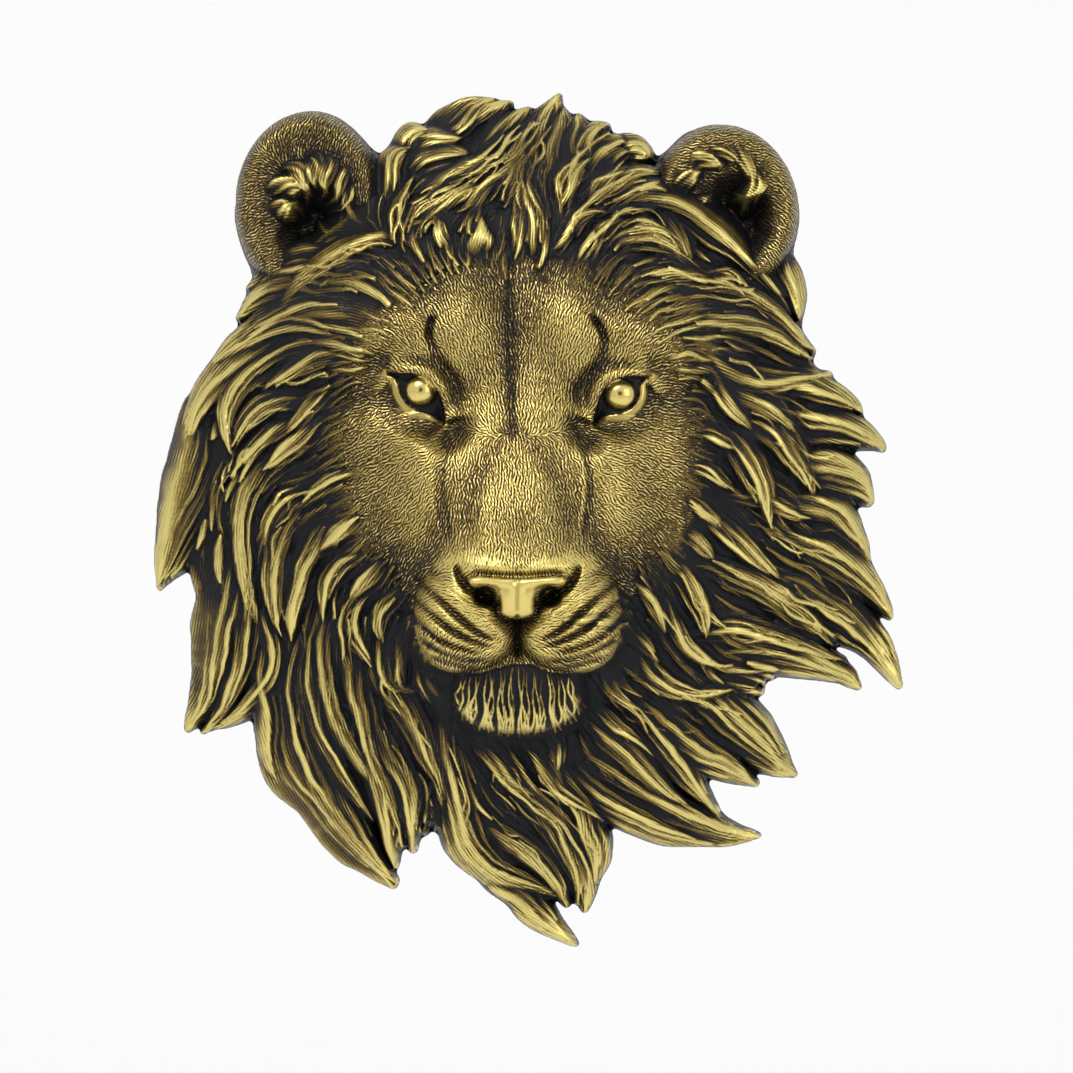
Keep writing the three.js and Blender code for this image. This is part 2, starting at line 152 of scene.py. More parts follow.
def rounded(points: Sequence[Point], closed: bool, per: int = 6) -> Array:
    """A smooth line through points.

    Args:
        points: what the line goes through.
        closed: whether it returns to its start.
        per: steps from one point to the next.

    Returns:
        The line's points, one a row.
    """
    pts = np.array(points, float)
    count = len(pts)
    out = []
    for i in range(count if closed else count - 1):
        if closed:
            p0, p1, p2, p3 = pts[i - 1], pts[i], pts[(i + 1) % count], pts[(i + 2) % count]
        else:
            p0, p1, p2, p3 = pts[max(i - 1, 0)], pts[i], pts[i + 1], pts[min(i + 2, count - 1)]
        for t in np.linspace(0, 1, per + 1)[:-1]:
            out.append(0.5 * (2 * p1 + (p2 - p0) * t + (2 * p0 - 5 * p1 + 4 * p2 - p3) * t ** 2
                              + (3 * p1 - p0 - 3 * p2 + p3) * t ** 3))
    if not closed:
        out.append(pts[-1])
    return np.array(out)


def inside_distance(x: Array, z: Array, corners: Array) -> Array:
    """Distance to a closed outline, positive inside it.

    Args:
        x: places across.
        z: places up.
        corners: the outline's corners, one a row.

    Returns:
        The distance at each place.
    """
    best = np.full(x.shape, 1e9)
    inside = np.zeros(x.shape, bool)
    for (ax, az), (bx, bz) in zip(corners, np.roll(corners, -1, axis=0)):
        ex, ez = bx - ax, bz - az
        t = np.clip(((x - ax) * ex + (z - az) * ez) / (ex * ex + ez * ez), 0, 1)
        best = np.minimum(best, np.hypot(x - ax - t * ex, z - az - t * ez))
        if bz != az:
            inside ^= ((az > z) != (bz > z)) & (x < ex * (z - az) / ez + ax)
    return np.where(inside, best, -best)


@dataclass(frozen=True)
class Egg:
    """A part of the face that the mane keeps off: its middle, half width and heights above and below."""

    x: float
    z: float
    half: float
    above: float
    below: float

    def reach(self, x: Array, z: Array) -> Array:
        """How far out from the middle a point is, 1 at the egg's edge."""
        dx, dz = np.asarray(x, float) - self.x, np.asarray(z, float) - self.z
        return np.hypot(dx / self.half, dz / np.where(dz > 0, self.above, self.below))


EGG = Egg(x=-3.0, z=22.0, half=47.5, above=45.0, below=50.0)
CHIN = Egg(x=-3.5, z=-42.0, half=19.0, above=16.0, below=15.0)


@dataclass
class Trace:
    """Where the points of a window lie along a line: how far on, which share, and how far aside."""

    window: tuple[slice, slice]
    x: Array
    z: Array
    on: Array
    share: Array
    side: Array
    gx: Array
    gz: Array
    length: float


@dataclass
class Relief:
    """Depth of the carving over the wall, in mm, on a grid of points, and the flow of its hair."""

    step: float = 0.36
    half_width: float = 106.0
    half_height: float = 119.0
    wall_slope: float = 3.0
    rim_slope: float = 10.0
    sways: tuple[Point, ...] = ((24.0, 2.6), (9.0, 0.8), (3.2, 0.22))
    xs: Array = field(init=False)
    zs: Array = field(init=False)
    x: Array = field(init=False)
    z: Array = field(init=False)
    depth: Array = field(init=False)
    rim: Array = field(init=False)
    gx: Array = field(init=False)
    gz: Array = field(init=False)
    tone: Array = field(init=False)
    kind: Array = field(init=False)
    bare: Array = field(init=False)
    ground: Array = field(init=False)
    wavy_x: Array = field(init=False)
    wavy_z: Array = field(init=False)

    def __post_init__(self) -> None:
        """Lay out the empty grid."""
        self.xs = np.arange(-self.half_width, self.half_width + self.step, self.step)
        self.zs = np.arange(-self.half_height, self.half_height + self.step, self.step)
        self.x, self.z = np.meshgrid(self.xs, self.zs)
        self.depth = np.full(self.x.shape, -90.0)
        self.rim = np.full(self.x.shape, 40.0)
        self.gx, self.gz, self.tone = (np.zeros(self.x.shape) for _ in range(3))
        self.kind = np.zeros(self.x.shape, int)
        self.bare, self.ground = np.zeros(self.x.shape), np.zeros(self.x.shape)
        self.wavy_x = self.x + self.waves(11)
        self.wavy_z = self.z + self.waves(12)

    def waves(self, seed: float) -> Array:
        """Sideways sway that all hair shares, in mm."""
        return sum(size * ripple(self.x / span, self.z / span, seed) for span, size in self.sways)

    def at(self, grid: Array, x: Array, z: Array, smooth: bool = True) -> Array:
        """Values of a map at points, read between its cells or at the nearest one.

        Args:
            grid: the map.
            x: places across.
            z: places up.
            smooth: whether to read between cells.

        Returns:
            The map's values there.
        """
        fi = np.clip((x + self.half_width) / self.step, 0, len(self.xs) - 1.001)
        fj = np.clip((z + self.half_height) / self.step, 0, len(self.zs) - 1.001)
        if not smooth:
            return grid[np.rint(fj).astype(int), np.rint(fi).astype(int)]
        i, j = fi.astype(int), fj.astype(int)
        a, b = fi - i, fj - j
        low = grid[j, i] * (1 - a) + grid[j, i + 1] * a
        top = grid[j + 1, i] * (1 - a) + grid[j + 1, i + 1] * a
        return low * (1 - b) + top * b

    def window(self, x0: float, x1: float, z0: float, z1: float) -> tuple[slice, slice]:
        """The part of the grid inside a box.

        Args:
            x0: left side.
            x1: right side.
            z0: bottom.
            z1: top.

        Returns:
            Its rows and its columns.
        """
        i0 = max(0, int((x0 + self.half_width) / self.step))
        i1 = min(len(self.xs), int((x1 + self.half_width) / self.step) + 2)
        j0 = max(0, int((z0 + self.half_height) / self.step))
        j1 = min(len(self.zs), int((z1 + self.half_height) / self.step) + 2)
        return slice(j0, j1), slice(i0, i1)

    def raise_to(self, window: tuple[slice, slice], depth: Array, out: Array, **maps: Array) -> None:
        """Keep whichever is further from the wall, with what goes with it.

        Args:
            window: part of the grid.
            depth: the new form's depth there.
            out: distance outside the new form's own outline.
            maps: values of the other maps on the new form.
        """
        depth = depth - self.wall_slope * np.maximum(out, 0)
        won = depth > self.depth[window]
        self.depth[window] = np.where(won, depth, self.depth[window])
        self.rim[window] = np.minimum(self.rim[window], out)
        for name, value in maps.items():
            target = getattr(self, name)
            target[window] = np.where(won, value, target[window])

    def trace(self, px: Array, pz: Array, margin: float, wavy: bool = False) -> Trace:
        """Measure the points near a line against it.

        Args:
            px: the line's points, across.
            pz: the line's points, up.
            margin: how far off the line to look.
            wavy: whether the line sways with the hair.

        Returns:
            The window round the line and the measures of its points.
        """
        window = self.window(px.min() - margin, px.max() + margin, pz.min() - margin, pz.max() + margin)
        x, z = (self.wavy_x[window], self.wavy_z[window]) if wavy else (self.x[window], self.z[window])
        best = np.full(x.shape, 1e9)
        on, side, gx, gz = (np.zeros(x.shape) for _ in range(4))
        pieces = np.hypot(np.diff(px), np.diff(pz))
        arc = np.concatenate([[0], np.cumsum(pieces)])
        last = len(pieces) - 1
        for i, length in enumerate(pieces):
            ex, ez = (px[i + 1] - px[i]) / length, (pz[i + 1] - pz[i]) / length
            dx, dz = x - px[i], z - pz[i]
            go = dx * ex + dz * ez
            go = np.maximum(go, 0) if i > 0 else go
            go = np.minimum(go, length) if i < last else go
            ox, oz = dx - go * ex, dz - go * ez
            gap = ox * ox + oz * oz
            near = gap < best
            best = np.where(near, gap, best)
            on = np.where(near, arc[i] + go, on)
            side = np.where(near, np.sqrt(gap) * np.sign(dx * ez - dz * ex), side)
            gx, gz = np.where(near, ex, gx), np.where(near, ez, gz)
        return Trace(window, x, z, on, np.clip(on / arc[-1], 0, 1), side, gx, gz, float(arc[-1]))


def dome(x: Array, z: Array, form: Sequence[float]) -> Array:
    """A rounded form that falls away from its top on both sides."""
    cx, cz, rx, rz, top, fall, power = form
    return top - fall * (np.abs(x - cx) / rx) ** power - fall * (np.abs(z - cz) / rz) ** power


def dip(x: Array, z: Array, form: Sequence[float]) -> Array:
    """A soft hollow: middle, half sizes, depth and turn in degrees.

    Args:
        x: places across.
        z: places up.
        form: the hollow's sizes.

    Returns:
        Its depth at each place.
    """
    cx, cz, rx, rz, depth, turn = form
    c, s = math.cos(math.radians(turn)), math.sin(math.radians(turn))
    u, v = (x - cx) * c + (z - cz) * s, -(x - cx) * s + (z - cz) * c
    return depth * np.exp(-(u / rx) ** 2 - (v / rz) ** 2)


@dataclass
class Mass:
    """The head's large masses, the same as the solid's.

    A form that falls away is its middle across and up, its half sizes, its front, its fall and its
    squareness. The pads and the chin have their depth and their front there instead. A socket is its
    middle, its half sizes, its depth and its turn.
    """

    mane: tuple[float, ...] = (-3, 2, 97, 107, 5, 39, 0.9)
    skull: tuple[float, ...] = (FACE_AXIS, 30, 47, 46, 47, 11, 2.4)
    jaw: tuple[float, ...] = (FACE_AXIS, -20, 30, 34, 50, 16, 3)
    cheek: tuple[float, ...] = (31, 6, 20, 32, 47, 11, 2.2)
    inner_cheek: tuple[float, ...] = (20, 3, 14, 27, 54.5, 7, 2.2)
    brow: tuple[float, ...] = (14.0, 48, 13, 17, 49.8, 7, 2)
    outer_brow: tuple[float, ...] = (27.5, 47, 16, 13, 48.6, 5, 2)
    bridge: tuple[Point, ...] = ((-20, 70), (-12, 70.5), (0, 62.5), (16, 55), (32, 50), (50, 45), (70, 36))
    bridge_half: float = 19.5
    bridge_fall: float = 10.0
    bridge_squareness: float = 2.8
    pad: tuple[float, ...] = (12.8, -25.9, 14.6, 15.2, 20, 67, 2.5)
    chin: tuple[float, ...] = (-0.5, -43.8, 17.0, 13.0, 12, 57.5, 2.6)
    outline: tuple[Point, ...] = (
        (-6, 106), (18, 97), (34, 87), (62, 68), (71, 48), (80, 22), (83, -2), (85, -26), (62, -43),
        (43, -61), (21, -76), (-1, -99), (-26, -82), (-48, -79), (-69, -56), (-85, -32), (-93, -4),
        (-87, 28), (-75, 50), (-66, 66), (-38, 89), (-24, 102))
    fillet: float = 5.0
    brow_fillet: float = 3.0
    chin_fillet: float = 1.6
    pad_fillet: float = 2.0
    foot_slope: float = 2.0
    softening: float = 1.4
    ground_softening: float = 1.5
    fur_edge: float = 1.06
    pad_edge: float = 1.15
    parting: float = -4.9
    parting_dark: float = 0.55
    forehead_dark: float = 0.6
    rim_dark: float = 0.55
    # the pads' own gold rub on top, and painted light that brightens their steep rims where the light falls
    # off
    pad_gold_and_rim_light: Point = (1.6, 0.6)
    chin_dark: float = 0.9
    sockets: tuple[tuple[float, ...], ...] = (
        (-29, 32.5, 9.5, 7, 4.8, 0), (24, 31.5, 9.5, 7, 4.8, 0), (-20, 25, 3, 8, 1.6, 0),
        (14, 25, 3, 8, 1.6, 0), (-33, -12, 6, 7, 2.5, 0), (27, -12, 6, 7, 2.5, 0), (-4.4, 46, 4, 18, 2.2, 0))

    def under_hair(self, x: Array, z: Array) -> Array:
        """Depth of the mane's mass and the skull, without locks or features.

        Args:
            x: places across.
            z: places up.

        Returns:
            Depth at each place, in mm.
        """
        mx, mz, half_width, half_height, edge, rise, fullness = self.mane
        inside = 1 - ((x - mx) / half_width) ** 2 - ((z - mz) / half_height) ** 2
        mane = edge + rise * np.maximum(inside, 0) ** fullness
        return smooth_max(mane, dome(x, z, self.skull), self.fillet)

    def ball(self, x: Array, z: Array, side: float, form: Sequence[float]) -> Array:
        """A rounded boss beside or on the face's axis.

        Args:
            x: places across.
            z: places up.
            side: -1 left, 0 on the axis and 1 right.
            form: its sizes.

        Returns:
            Its depth at each place.
        """
        off, cz, rx, rz, ry, top, power = form
        q = (np.abs(x - FACE_AXIS - side * off) / rx) ** power + (np.abs(z - cz) / rz) ** power
        inside = top - ry * (1 - np.sqrt(np.clip(1 - q, 0, 1)))
        reach = (q ** (1 / power) - 1) * min(rx, rz)
        return np.where(q < 1, inside, top - ry - 4 * reach)

    def pair(self, x: Array, z: Array, depth: Array, form: Sequence[float], blend: float) -> Array:
        """Raise a form on each side of the face's axis.

        Args:
            x: places across.
            z: places up.
            depth: what it is raised on.
            form: its sizes.
            blend: the fillet round it.

        Returns:
            The new depth.
        """
        off, *rest = form
        for side in (-1, 1):
            depth = smooth_max(depth, dome(x, z, (FACE_AXIS + side * off, *rest)), blend)
        return depth

    def face(self, relief: Relief) -> Array:
        """Depth of the whole head without hair, eyes or nose.

        Args:
            relief: the grid that it is worked out on.

        Returns:
            Its depth over the grid, in mm.
        """
        x, z = relief.x, relief.z
        depth = smooth_max(self.under_hair(x, z), dome(x, z, self.jaw), self.fillet)
        depth = self.pair(x, z, depth, self.cheek, self.fillet)
        depth = self.pair(x, z, depth, self.inner_cheek, self.fillet)
        heights = [p[0] for p in self.bridge]
        fronts = [p[1] for p in self.bridge]
        line = np.interp(z, heights, fronts)
        line = np.where(z < heights[0], fronts[0] - self.foot_slope * (heights[0] - z), line)
        line = np.where(z > heights[-1], fronts[-1] - (z - heights[-1]), line)
        off = np.abs(x - FACE_AXIS) / self.bridge_half
        depth = smooth_max(depth, line - self.bridge_fall * off ** self.bridge_squareness, self.fillet)
        depth = self.pair(x, z, depth, self.brow, self.brow_fillet)
        depth = self.pair(x, z, depth, self.outer_brow, self.brow_fillet)
        for form in self.sockets:
            depth = depth - dip(x, z, form)
        depth = blur(depth, self.softening / relief.step)
        depth = smooth_max(depth, self.ball(x, z, 0, self.chin), self.chin_fillet)
        for side in (-1, 1):
            depth = smooth_max(depth, self.ball(x, z, side, self.pad), self.pad_fillet)
        return depth

    def lay(self, relief: Relief) -> None:
        """Put the bare head on the relief.

        Args:
            relief: the empty relief.
        """
        x, z = relief.x, relief.z
        out = -inside_distance(x, z, rounded(self.outline, closed=True))
        face = self.face(relief)
        relief.bare = face
        relief.ground = blur(face, self.ground_softening / relief.step)
        edge = EGG.reach(x, z)
        off, pz, rx, rz, _, _, power = self.pad
        to_pad = (np.abs(np.abs(x - FACE_AXIS) - off) / rx) ** power + (np.abs(z - pz) / rz) ** power
        on_pad = to_pad < self.pad_edge
        furred = (edge < self.fur_edge) | on_pad
        aside = x - self.parting
        band = np.exp(-(aside / 1.5) ** 2) + 0.5 * np.exp(-(aside / 4.5) ** 2)
        tint = 1 - self.parting_dark * np.clip(band, 0, 1) * smooth_step(14, 34, z)
        tint = tint * (1 - self.forehead_dark * smooth_step(40, 66, z))
        tint = tint * (1 - self.rim_dark * smooth_step(0.72, 1.02, edge))
        # Painted light: on top of the pads' own gold, their colour is lightened towards the steep rims, where
        # the light falls off.
        on_top, painted_light_at_rim = self.pad_gold_and_rim_light
        tint = np.where(on_pad, on_top + painted_light_at_rim * smooth_step(0.45, 0.95, to_pad), tint)
        to_chin = np.hypot((x - FACE_AXIS) / self.chin[2], (z - self.chin[1]) / self.chin[3])
        on_chin = smooth_step(1.25, 0.9, to_chin) * smooth_step(-37, -40, z) * smooth_step(0.9, 1.0, to_pad)
        kind = np.where(furred & (on_chin < 0.5), int(Surface.FUR), int(Surface.LOCK))
        relief.raise_to((slice(None), slice(None)), face, out, kind=kind,
                        tone=np.where(kind == Surface.FUR, tint, -self.chin_dark * on_chin))


@dataclass(frozen=True)
class Eye:
    """One eye: the two lids' edges from the outer to the inner corner, and the iris."""

    upper: tuple[Point, ...]
    lower: tuple[Point, ...]
    iris: Point
    ball_front: float = 44.4
    ball_radius: float = 13.0
    iris_radius: float = 4.1
    iris_rise: float = 2.1
    rim_width: float = 2.3
    rim_rise: float = 0.9
    rim_gold: float = 0.66
    brow_rise: float = 4.2
    lid_width: float = 2.0
    lid_fall: float = 0.9
    seat_rise: float = 1.4
    seat_slope: float = 0.12
    seat_reach: float = 9.0
    # painted light: how much the fur just below the lower lid is lightened to cancel the shade of the eye's
    # hollow
    painted_light_below_eye: float = 1.0
    pupil_radius: float = 0.9
    pupil_depth: float = 0.35
    margin: float = 17.0

    def lay(self, relief: Relief) -> None:
        """Set the eye behind its lids.

        Args:
            relief: what it is set in.
        """
        upper = rounded(self.upper, closed=False, per=4)
        lower = rounded(self.lower, closed=False, per=4)
        slit = np.concatenate([upper, lower[-2:0:-1]])
        middle = slit.mean(axis=0)
        left, low = middle - self.margin
        right, high = middle + self.margin
        window = relief.window(left, right, low, high)
        x, z = relief.x[window], relief.z[window]
        inside = inside_distance(x, z, slit)
        away = np.maximum(-inside, 0)
        gaps, along = [], np.zeros(x.shape)
        for line in (upper, lower):
            near = np.full(x.shape, 1e9)
            for k, ((ax, az), (bx, bz)) in enumerate(zip(line, line[1:])):
                ex, ez = bx - ax, bz - az
                t = np.clip(((x - ax) * ex + (z - az) * ez) / (ex ** 2 + ez ** 2), 0, 1)
                gap = np.hypot(x - ax - t * ex, z - az - t * ez)
                along = np.where(gap < near, (k + t) / (len(line) - 1), along)
                near = np.minimum(near, gap)
            gaps.append(near)
        below = smooth_step(0.6, -0.6, gaps[1] - gaps[0])
        wide = self.rim_width * (0.35 + 0.65 * np.sin(math.pi * np.clip(along, 0, 1) ** 0.8))
        off = np.hypot(x - self.iris[0], z - self.iris[1])
        ball = self.ball_front - off ** 2 / (2 * self.ball_radius)
        base = relief.depth[window]
        brow = ball + self.brow_rise + 0.25 * away
        lid = brow - self.lid_fall * np.maximum(away - self.lid_width, 0)
        depth = smooth_max(base, lid, 1.0) * (1 - below) + base * below
        seat = ball + self.seat_rise + self.seat_slope * away
        lowered = depth + (np.minimum(depth, seat) - depth) * smooth_step(self.seat_reach, 0.0, away)
        depth = depth * (1 - below) + below * lowered
        round_rim = np.clip(1 - np.abs(away / wide * 2 - 1) ** 4, 0, 1)
        rim = ball + self.rim_rise * round_rim
        on_rim = (away > 0) & (away < wide) & (below > 0.4)
        depth = np.where(on_rim, np.maximum(depth, rim), depth)
        iris = self.iris_rise * np.sqrt(np.clip(1 - (off / self.iris_radius) ** 2, 0, 1))
        pupil = self.pupil_depth * smooth_step(self.pupil_radius, 0.4, off)
        share = smooth_step(-0.15, 0.3, inside)
        relief.depth[window] = depth * (1 - share) + (ball + iris - pupil) * share
        shown = inside > 0
        bright = shown & (off < self.iris_radius)
        relief.kind[window] = np.where(shown | on_rim, int(Surface.EYE), relief.kind[window])
        iris_tone = smooth_step(self.iris_radius, self.iris_radius - 0.7, off)
        tone = np.where(bright, iris_tone, np.where(shown, 0.0, self.rim_gold))
        tone = np.where(off < 0.7, 0.35, tone)
        # Painted light: the fur just below the lower lid is lightened to cancel the shade that falls in the
        # eye's hollow.
        lighter = relief.tone[window] * (1 + self.painted_light_below_eye * below * np.exp(-(away / 5.0) ** 2))
        relief.tone[window] = np.where(shown | on_rim, tone, lighter)


LEFT_EYE = Eye(
    upper=((-38.0, 38.6), (-33.8, 38.2), (-27.8, 37.4), (-24.5, 34.1), (-22.5, 29.4), (-22.0, 25.0)),
    lower=((-38.0, 38.6), (-35.0, 36.6), (-34.1, 33.4), (-32.3, 30.4), (-29.2, 28.4), (-25.8, 27.3),
           (-22.0, 25.0)),
    iris=(-28.5, 33.8))
RIGHT_EYE = Eye(
    upper=((32.2, 37.6), (28.3, 37.3), (24.3, 37.1), (20.6, 35.4), (18.3, 31.4), (16.5, 24.6)),
    lower=((32.2, 37.6), (29.2, 36.0), (28.7, 32.2), (27.0, 29.4), (23.7, 27.8), (19.6, 27.0), (16.5, 24.6)),
    iris=(23.7, 32.8))


@dataclass(frozen=True)
class Crease:
    """A furrow or an edge line of the face, along a path."""

    path: tuple[Point, ...]
    deep: float
    half_width: float
    end_width: float
    ridge: float = 0.0
    dark: float = 0.6

    def cut(self, relief: Relief) -> None:
        """Cut the furrow, with a raised edge beside it where it has one.

        Args:
            relief: what it is cut in.
        """
        line = rounded(self.path, closed=False, per=4)
        mark = relief.trace(line[:, 0], line[:, 1], 3.5 * max(self.half_width, self.end_width))
        half = self.half_width + (self.end_width - self.half_width) * mark.share
        ends = smooth_step(-1.0, 2.5, mark.on) * smooth_step(mark.length + 1.0, mark.length - 3, mark.on)
        groove = self.deep * np.exp(-(mark.side / half) ** 2) * ends
        edge = self.ridge * np.exp(-((mark.side - 1.9 * half) / (0.8 * half)) ** 2) * ends
        relief.depth[mark.window] += edge - groove
        black = self.dark * np.exp(-(mark.side / half) ** 2) * ends * np.clip(self.deep, 0, 1)
        relief.tone[mark.window] *= 1 - black


CREASES: tuple[Crease, ...] = (
    Crease(((-25.1, 53.4), (-26.4, 49.5), (-26.0, 45.8)), 3.2, 0.75, 0.8),
    Crease(((-26.0, 47.0), (-24.0, 42.0), (-21.0, 37.0), (-19.3, 31.0)), 1.3, 0.9, 2.4),
    Crease(((16.3, 53.4), (19.1, 49.0), (19.9, 45.4)), 2.8, 0.7, 0.8),
    Crease(((19.9, 46.0), (18.3, 40.6), (14.5, 35.8), (12.0, 30.8)), 1.3, 0.9, 2.4),
    Crease(((-4.9, 76.0), (-4.9, 55.0), (-4.7, 36.0), (-4.2, 21.0)), 0.9, 0.8, 0.9),
    Crease(((-4.0, 25.0), (-9.5, 17.0), (-13.8, 9.0), (-15.6, 0.0), (-15.2, -7.0)), 0.4, 2.4, 2.8),
    Crease(((-4.0, 25.0), (3.0, 17.0), (7.6, 9.0), (9.6, 0.0), (9.2, -7.0)), 0.4, 2.4, 2.8),
    Crease(((-18.8, 25.0), (-20.9, 18.7), (-22.4, 13.4), (-22.8, 6.7), (-21.6, 0.0), (-20.6, -5.5)),
           0.6, 0.8, 0.8, -0.6),
    Crease(((12.5, 25.0), (15.4, 14.7), (16.0, 8.0), (15.4, 1.3), (14.2, -4.5)), 0.6, 0.8, 0.8, 0.6),
    Crease(((-28.9, -13.4), (-18.6, -20.4), (-8.8, -28.3), (-3.8, -32.0)), -0.9, 1.0, 0.8),
    Crease(((22.9, -13.4), (12.6, -20.4), (2.8, -28.3), (-2.2, -32.0)), -0.9, 1.0, 0.8),
)


@dataclass(frozen=True)
class Nose:
    """The polished nose pad with its nostrils, and the cleft below it."""

    half_outline: tuple[Point, ...] = (
        (0, -15.5), (6, -15.2), (10, -14.9), (12.6, -15.6), (11.6, -17.6), (8, -17.4), (5.6, -18.2),
        (4.5, -20.4), (4.3, -23), (4.0, -25), (0, -26.2))
    front: float = 72.4
    lean: float = 0.42
    round_over: float = 3.0
    nostril: tuple[float, ...] = (8.5, -20.2, 3.0, 2.8, 7.0, 25)
    slit: tuple[Point, ...] = ((9.6, -20.2), (13.2, -17.6), (15.2, -14.6), (15.8, -11.4))
    slit_width: float = 0.95
    slit_depth: float = 3.6
    groove: Point = (0.7, 0.6)
    ledge: tuple[float, float, float] = (-18.6, 0.8, 1.3)
    trench: Point = (1.5, 1.1)
    cleft: Point = (2.5, 0.55)

    def lay(self, relief: Relief) -> None:
        """Shape the nose over the muzzle.

        Args:
            relief: what it is shaped on.
        """
        window = relief.window(-27, 21, -38, -6)
        x, z = relief.x[window], relief.z[window]
        right = [(FACE_AXIS + a, b) for a, b in self.half_outline]
        left = [(FACE_AXIS - a, b) for a, b in self.half_outline[-2:0:-1]]
        inside = inside_distance(x, z, rounded(right + left, closed=True, per=3))
        edge = np.clip(1 - inside / self.round_over, 0, 1)
        plane = self.front - self.lean * (self.half_outline[0][1] - z)
        pad = plane - self.round_over * 0.8 * (1 - np.sqrt(np.clip(1 - edge ** 2, 0, 1)))
        deep, wide = self.groove
        pad = pad - deep * np.exp(-((x - FACE_AXIS) / wide) ** 2)
        height, deep, wide = self.ledge
        pad = pad - deep * np.exp(-((z - height) / wide) ** 2) * smooth_step(1.0, 3.0, np.abs(x - FACE_AXIS))
        deep, wide = self.trench
        depth = relief.depth[window] - deep * np.exp(-((inside + 0.6) / wide) ** 2)
        depth = np.where(inside > 0, pad, depth)
        off, nz, rx, rz, deep, turn = self.nostril
        for side in (-1, 1):
            c, s = math.cos(math.radians(side * turn)), math.sin(math.radians(side * turn))
            dx, dz = x - FACE_AXIS - side * off, z - nz
            reach = np.hypot((dx * c + dz * s) / rx, (dz * c - dx * s) / rz)
            depth = depth - deep * smooth_step(1.12, 0.62, reach)
            inside = np.where(reach < 1.0, -1.0, inside)
            line = rounded(self.slit, closed=False, per=4)
            slit = relief.trace(FACE_AXIS + side * line[:, 0], line[:, 1], 4)
            ends = smooth_step(slit.length + 0.6, slit.length - 2.5, slit.on)
            held = np.zeros(relief.x.shape)
            held[slit.window] = self.slit_depth * np.exp(-(slit.side / self.slit_width) ** 2) * ends
            depth = depth - held[window]
        deep, wide = self.cleft
        cleft = np.exp(-((x - FACE_AXIS) / wide) ** 2) * smooth_step(-24.5, -26.5, z)
        depth = depth - deep * (cleft * smooth_step(-37, -34, z))
        relief.depth[window] = depth
        relief.kind[window] = np.where(inside > 0.3, int(Surface.NOSE), relief.kind[window])


@dataclass(frozen=True)
class Muzzle:
    """Whisker furrows on the two pads and the tufted chin."""

    furrows: tuple[tuple[Point, ...], ...] = (
        ((-29.6, -16.2), (-24.7, -19.8), (-18.6, -25.3), (-12.5, -30.2), (-6.4, -32.6)),
        ((-30.0, -21.2), (-24.7, -25.6), (-18.6, -30.0), (-11.3, -33.2), (-7.0, -34.2)),
        ((-29.8, -26.5), (-24.7, -31.0), (-17.4, -34.2), (-10.1, -35.6)),
        ((-28.0, -32.0), (-22.2, -35.4), (-14.9, -37.3), (-8.8, -37.3)),
        ((-24.7, -36.8), (-18.6, -38.6), (-12.5, -39.0)))
    deep: float = 2.3
    half_width: float = 0.95
    dark: float = 0.88
    chin_edge: tuple[Point, ...] = (
        (-21, -47.5), (-19, -51), (-15, -54), (-8, -56.8), (0, -57.2), (6, -55.8), (12, -52.5), (14.2, -48))
    chin_top: float = -38.6
    chin_arch: float = 0.22
    chin_strands: int = 24
    chin_width: float = 0.46
    root_share: float = 0.84
    fork: float = 1.25

    def cut(self, relief: Relief) -> None:
        """Cut the furrows of both pads.

        Args:
            relief: what they are cut in.
        """
        for side in (-1, 1):
            for furrow in self.furrows:
                line = rounded(furrow, closed=False, per=4)
                px = line[:, 0] if side < 0 else 2 * FACE_AXIS - line[:, 0]
                mark = relief.trace(px, line[:, 1], 3)
                ends = smooth_step(-2.5, 1, mark.on)
                ends = ends * smooth_step(mark.length + 0.5, mark.length - 6, mark.on)
                groove = np.exp(-(mark.side / self.half_width) ** 2) * ends
                relief.depth[mark.window] -= self.deep * groove
                relief.tone[mark.window] *= 1 - self.dark * groove

    def tuft(self, relief: Relief, hair: "Hair") -> None:
        """Lay the chin's strands from the lips down, with forks at their ends.

        Args:
            relief: what they are laid on.
            hair: how strands are shaped.
        """
        ground = relief.ground
        relief.ground = relief.bare
        edge_x, edge_z = zip(*self.chin_edge)
        for k in range(self.chin_strands):
            a, b, c = (float(scatter(k, 41, m)) for m in range(3))
            tip = edge_x[0] + (edge_x[-1] - edge_x[0]) * (k + 0.2 + 0.6 * a) / self.chin_strands
            root = FACE_AXIS + (tip - FACE_AXIS) * self.root_share
            low = float(np.interp(tip, edge_x, edge_z)) - 1.2 * b
            top = self.chin_top - self.chin_arch * abs(root - FACE_AXIS)
            run = np.linspace(0, 1, 9)
            sway = (0.25 + 0.3 * run) * np.sin(run * 9 + 6.28 * c)
            px, pz = root + (tip - root) * run ** 1.3 + sway, top + (low - top) * run
            tone = (-0.05 + 0.2 * b, 0.6 + 0.3 * a)
            lift = (0.55 + 0.3 * a) * np.array([0.7, 0.9, 1.0, 1.3, 2.0])
            hair.strand(relief, px, pz, self.chin_width * (0.75 + 0.4 * c), lift, tone, fine=True)
            side = 1.0 if b > 0.5 else -1.0
            px, pz = px[4:] + side * np.linspace(0, self.fork, 5), pz[4:] + 0.8 * run[4:]
            hair.strand(relief, px, pz, self.chin_width * 0.7, lift[2:], tone, fine=True)
        relief.ground = ground


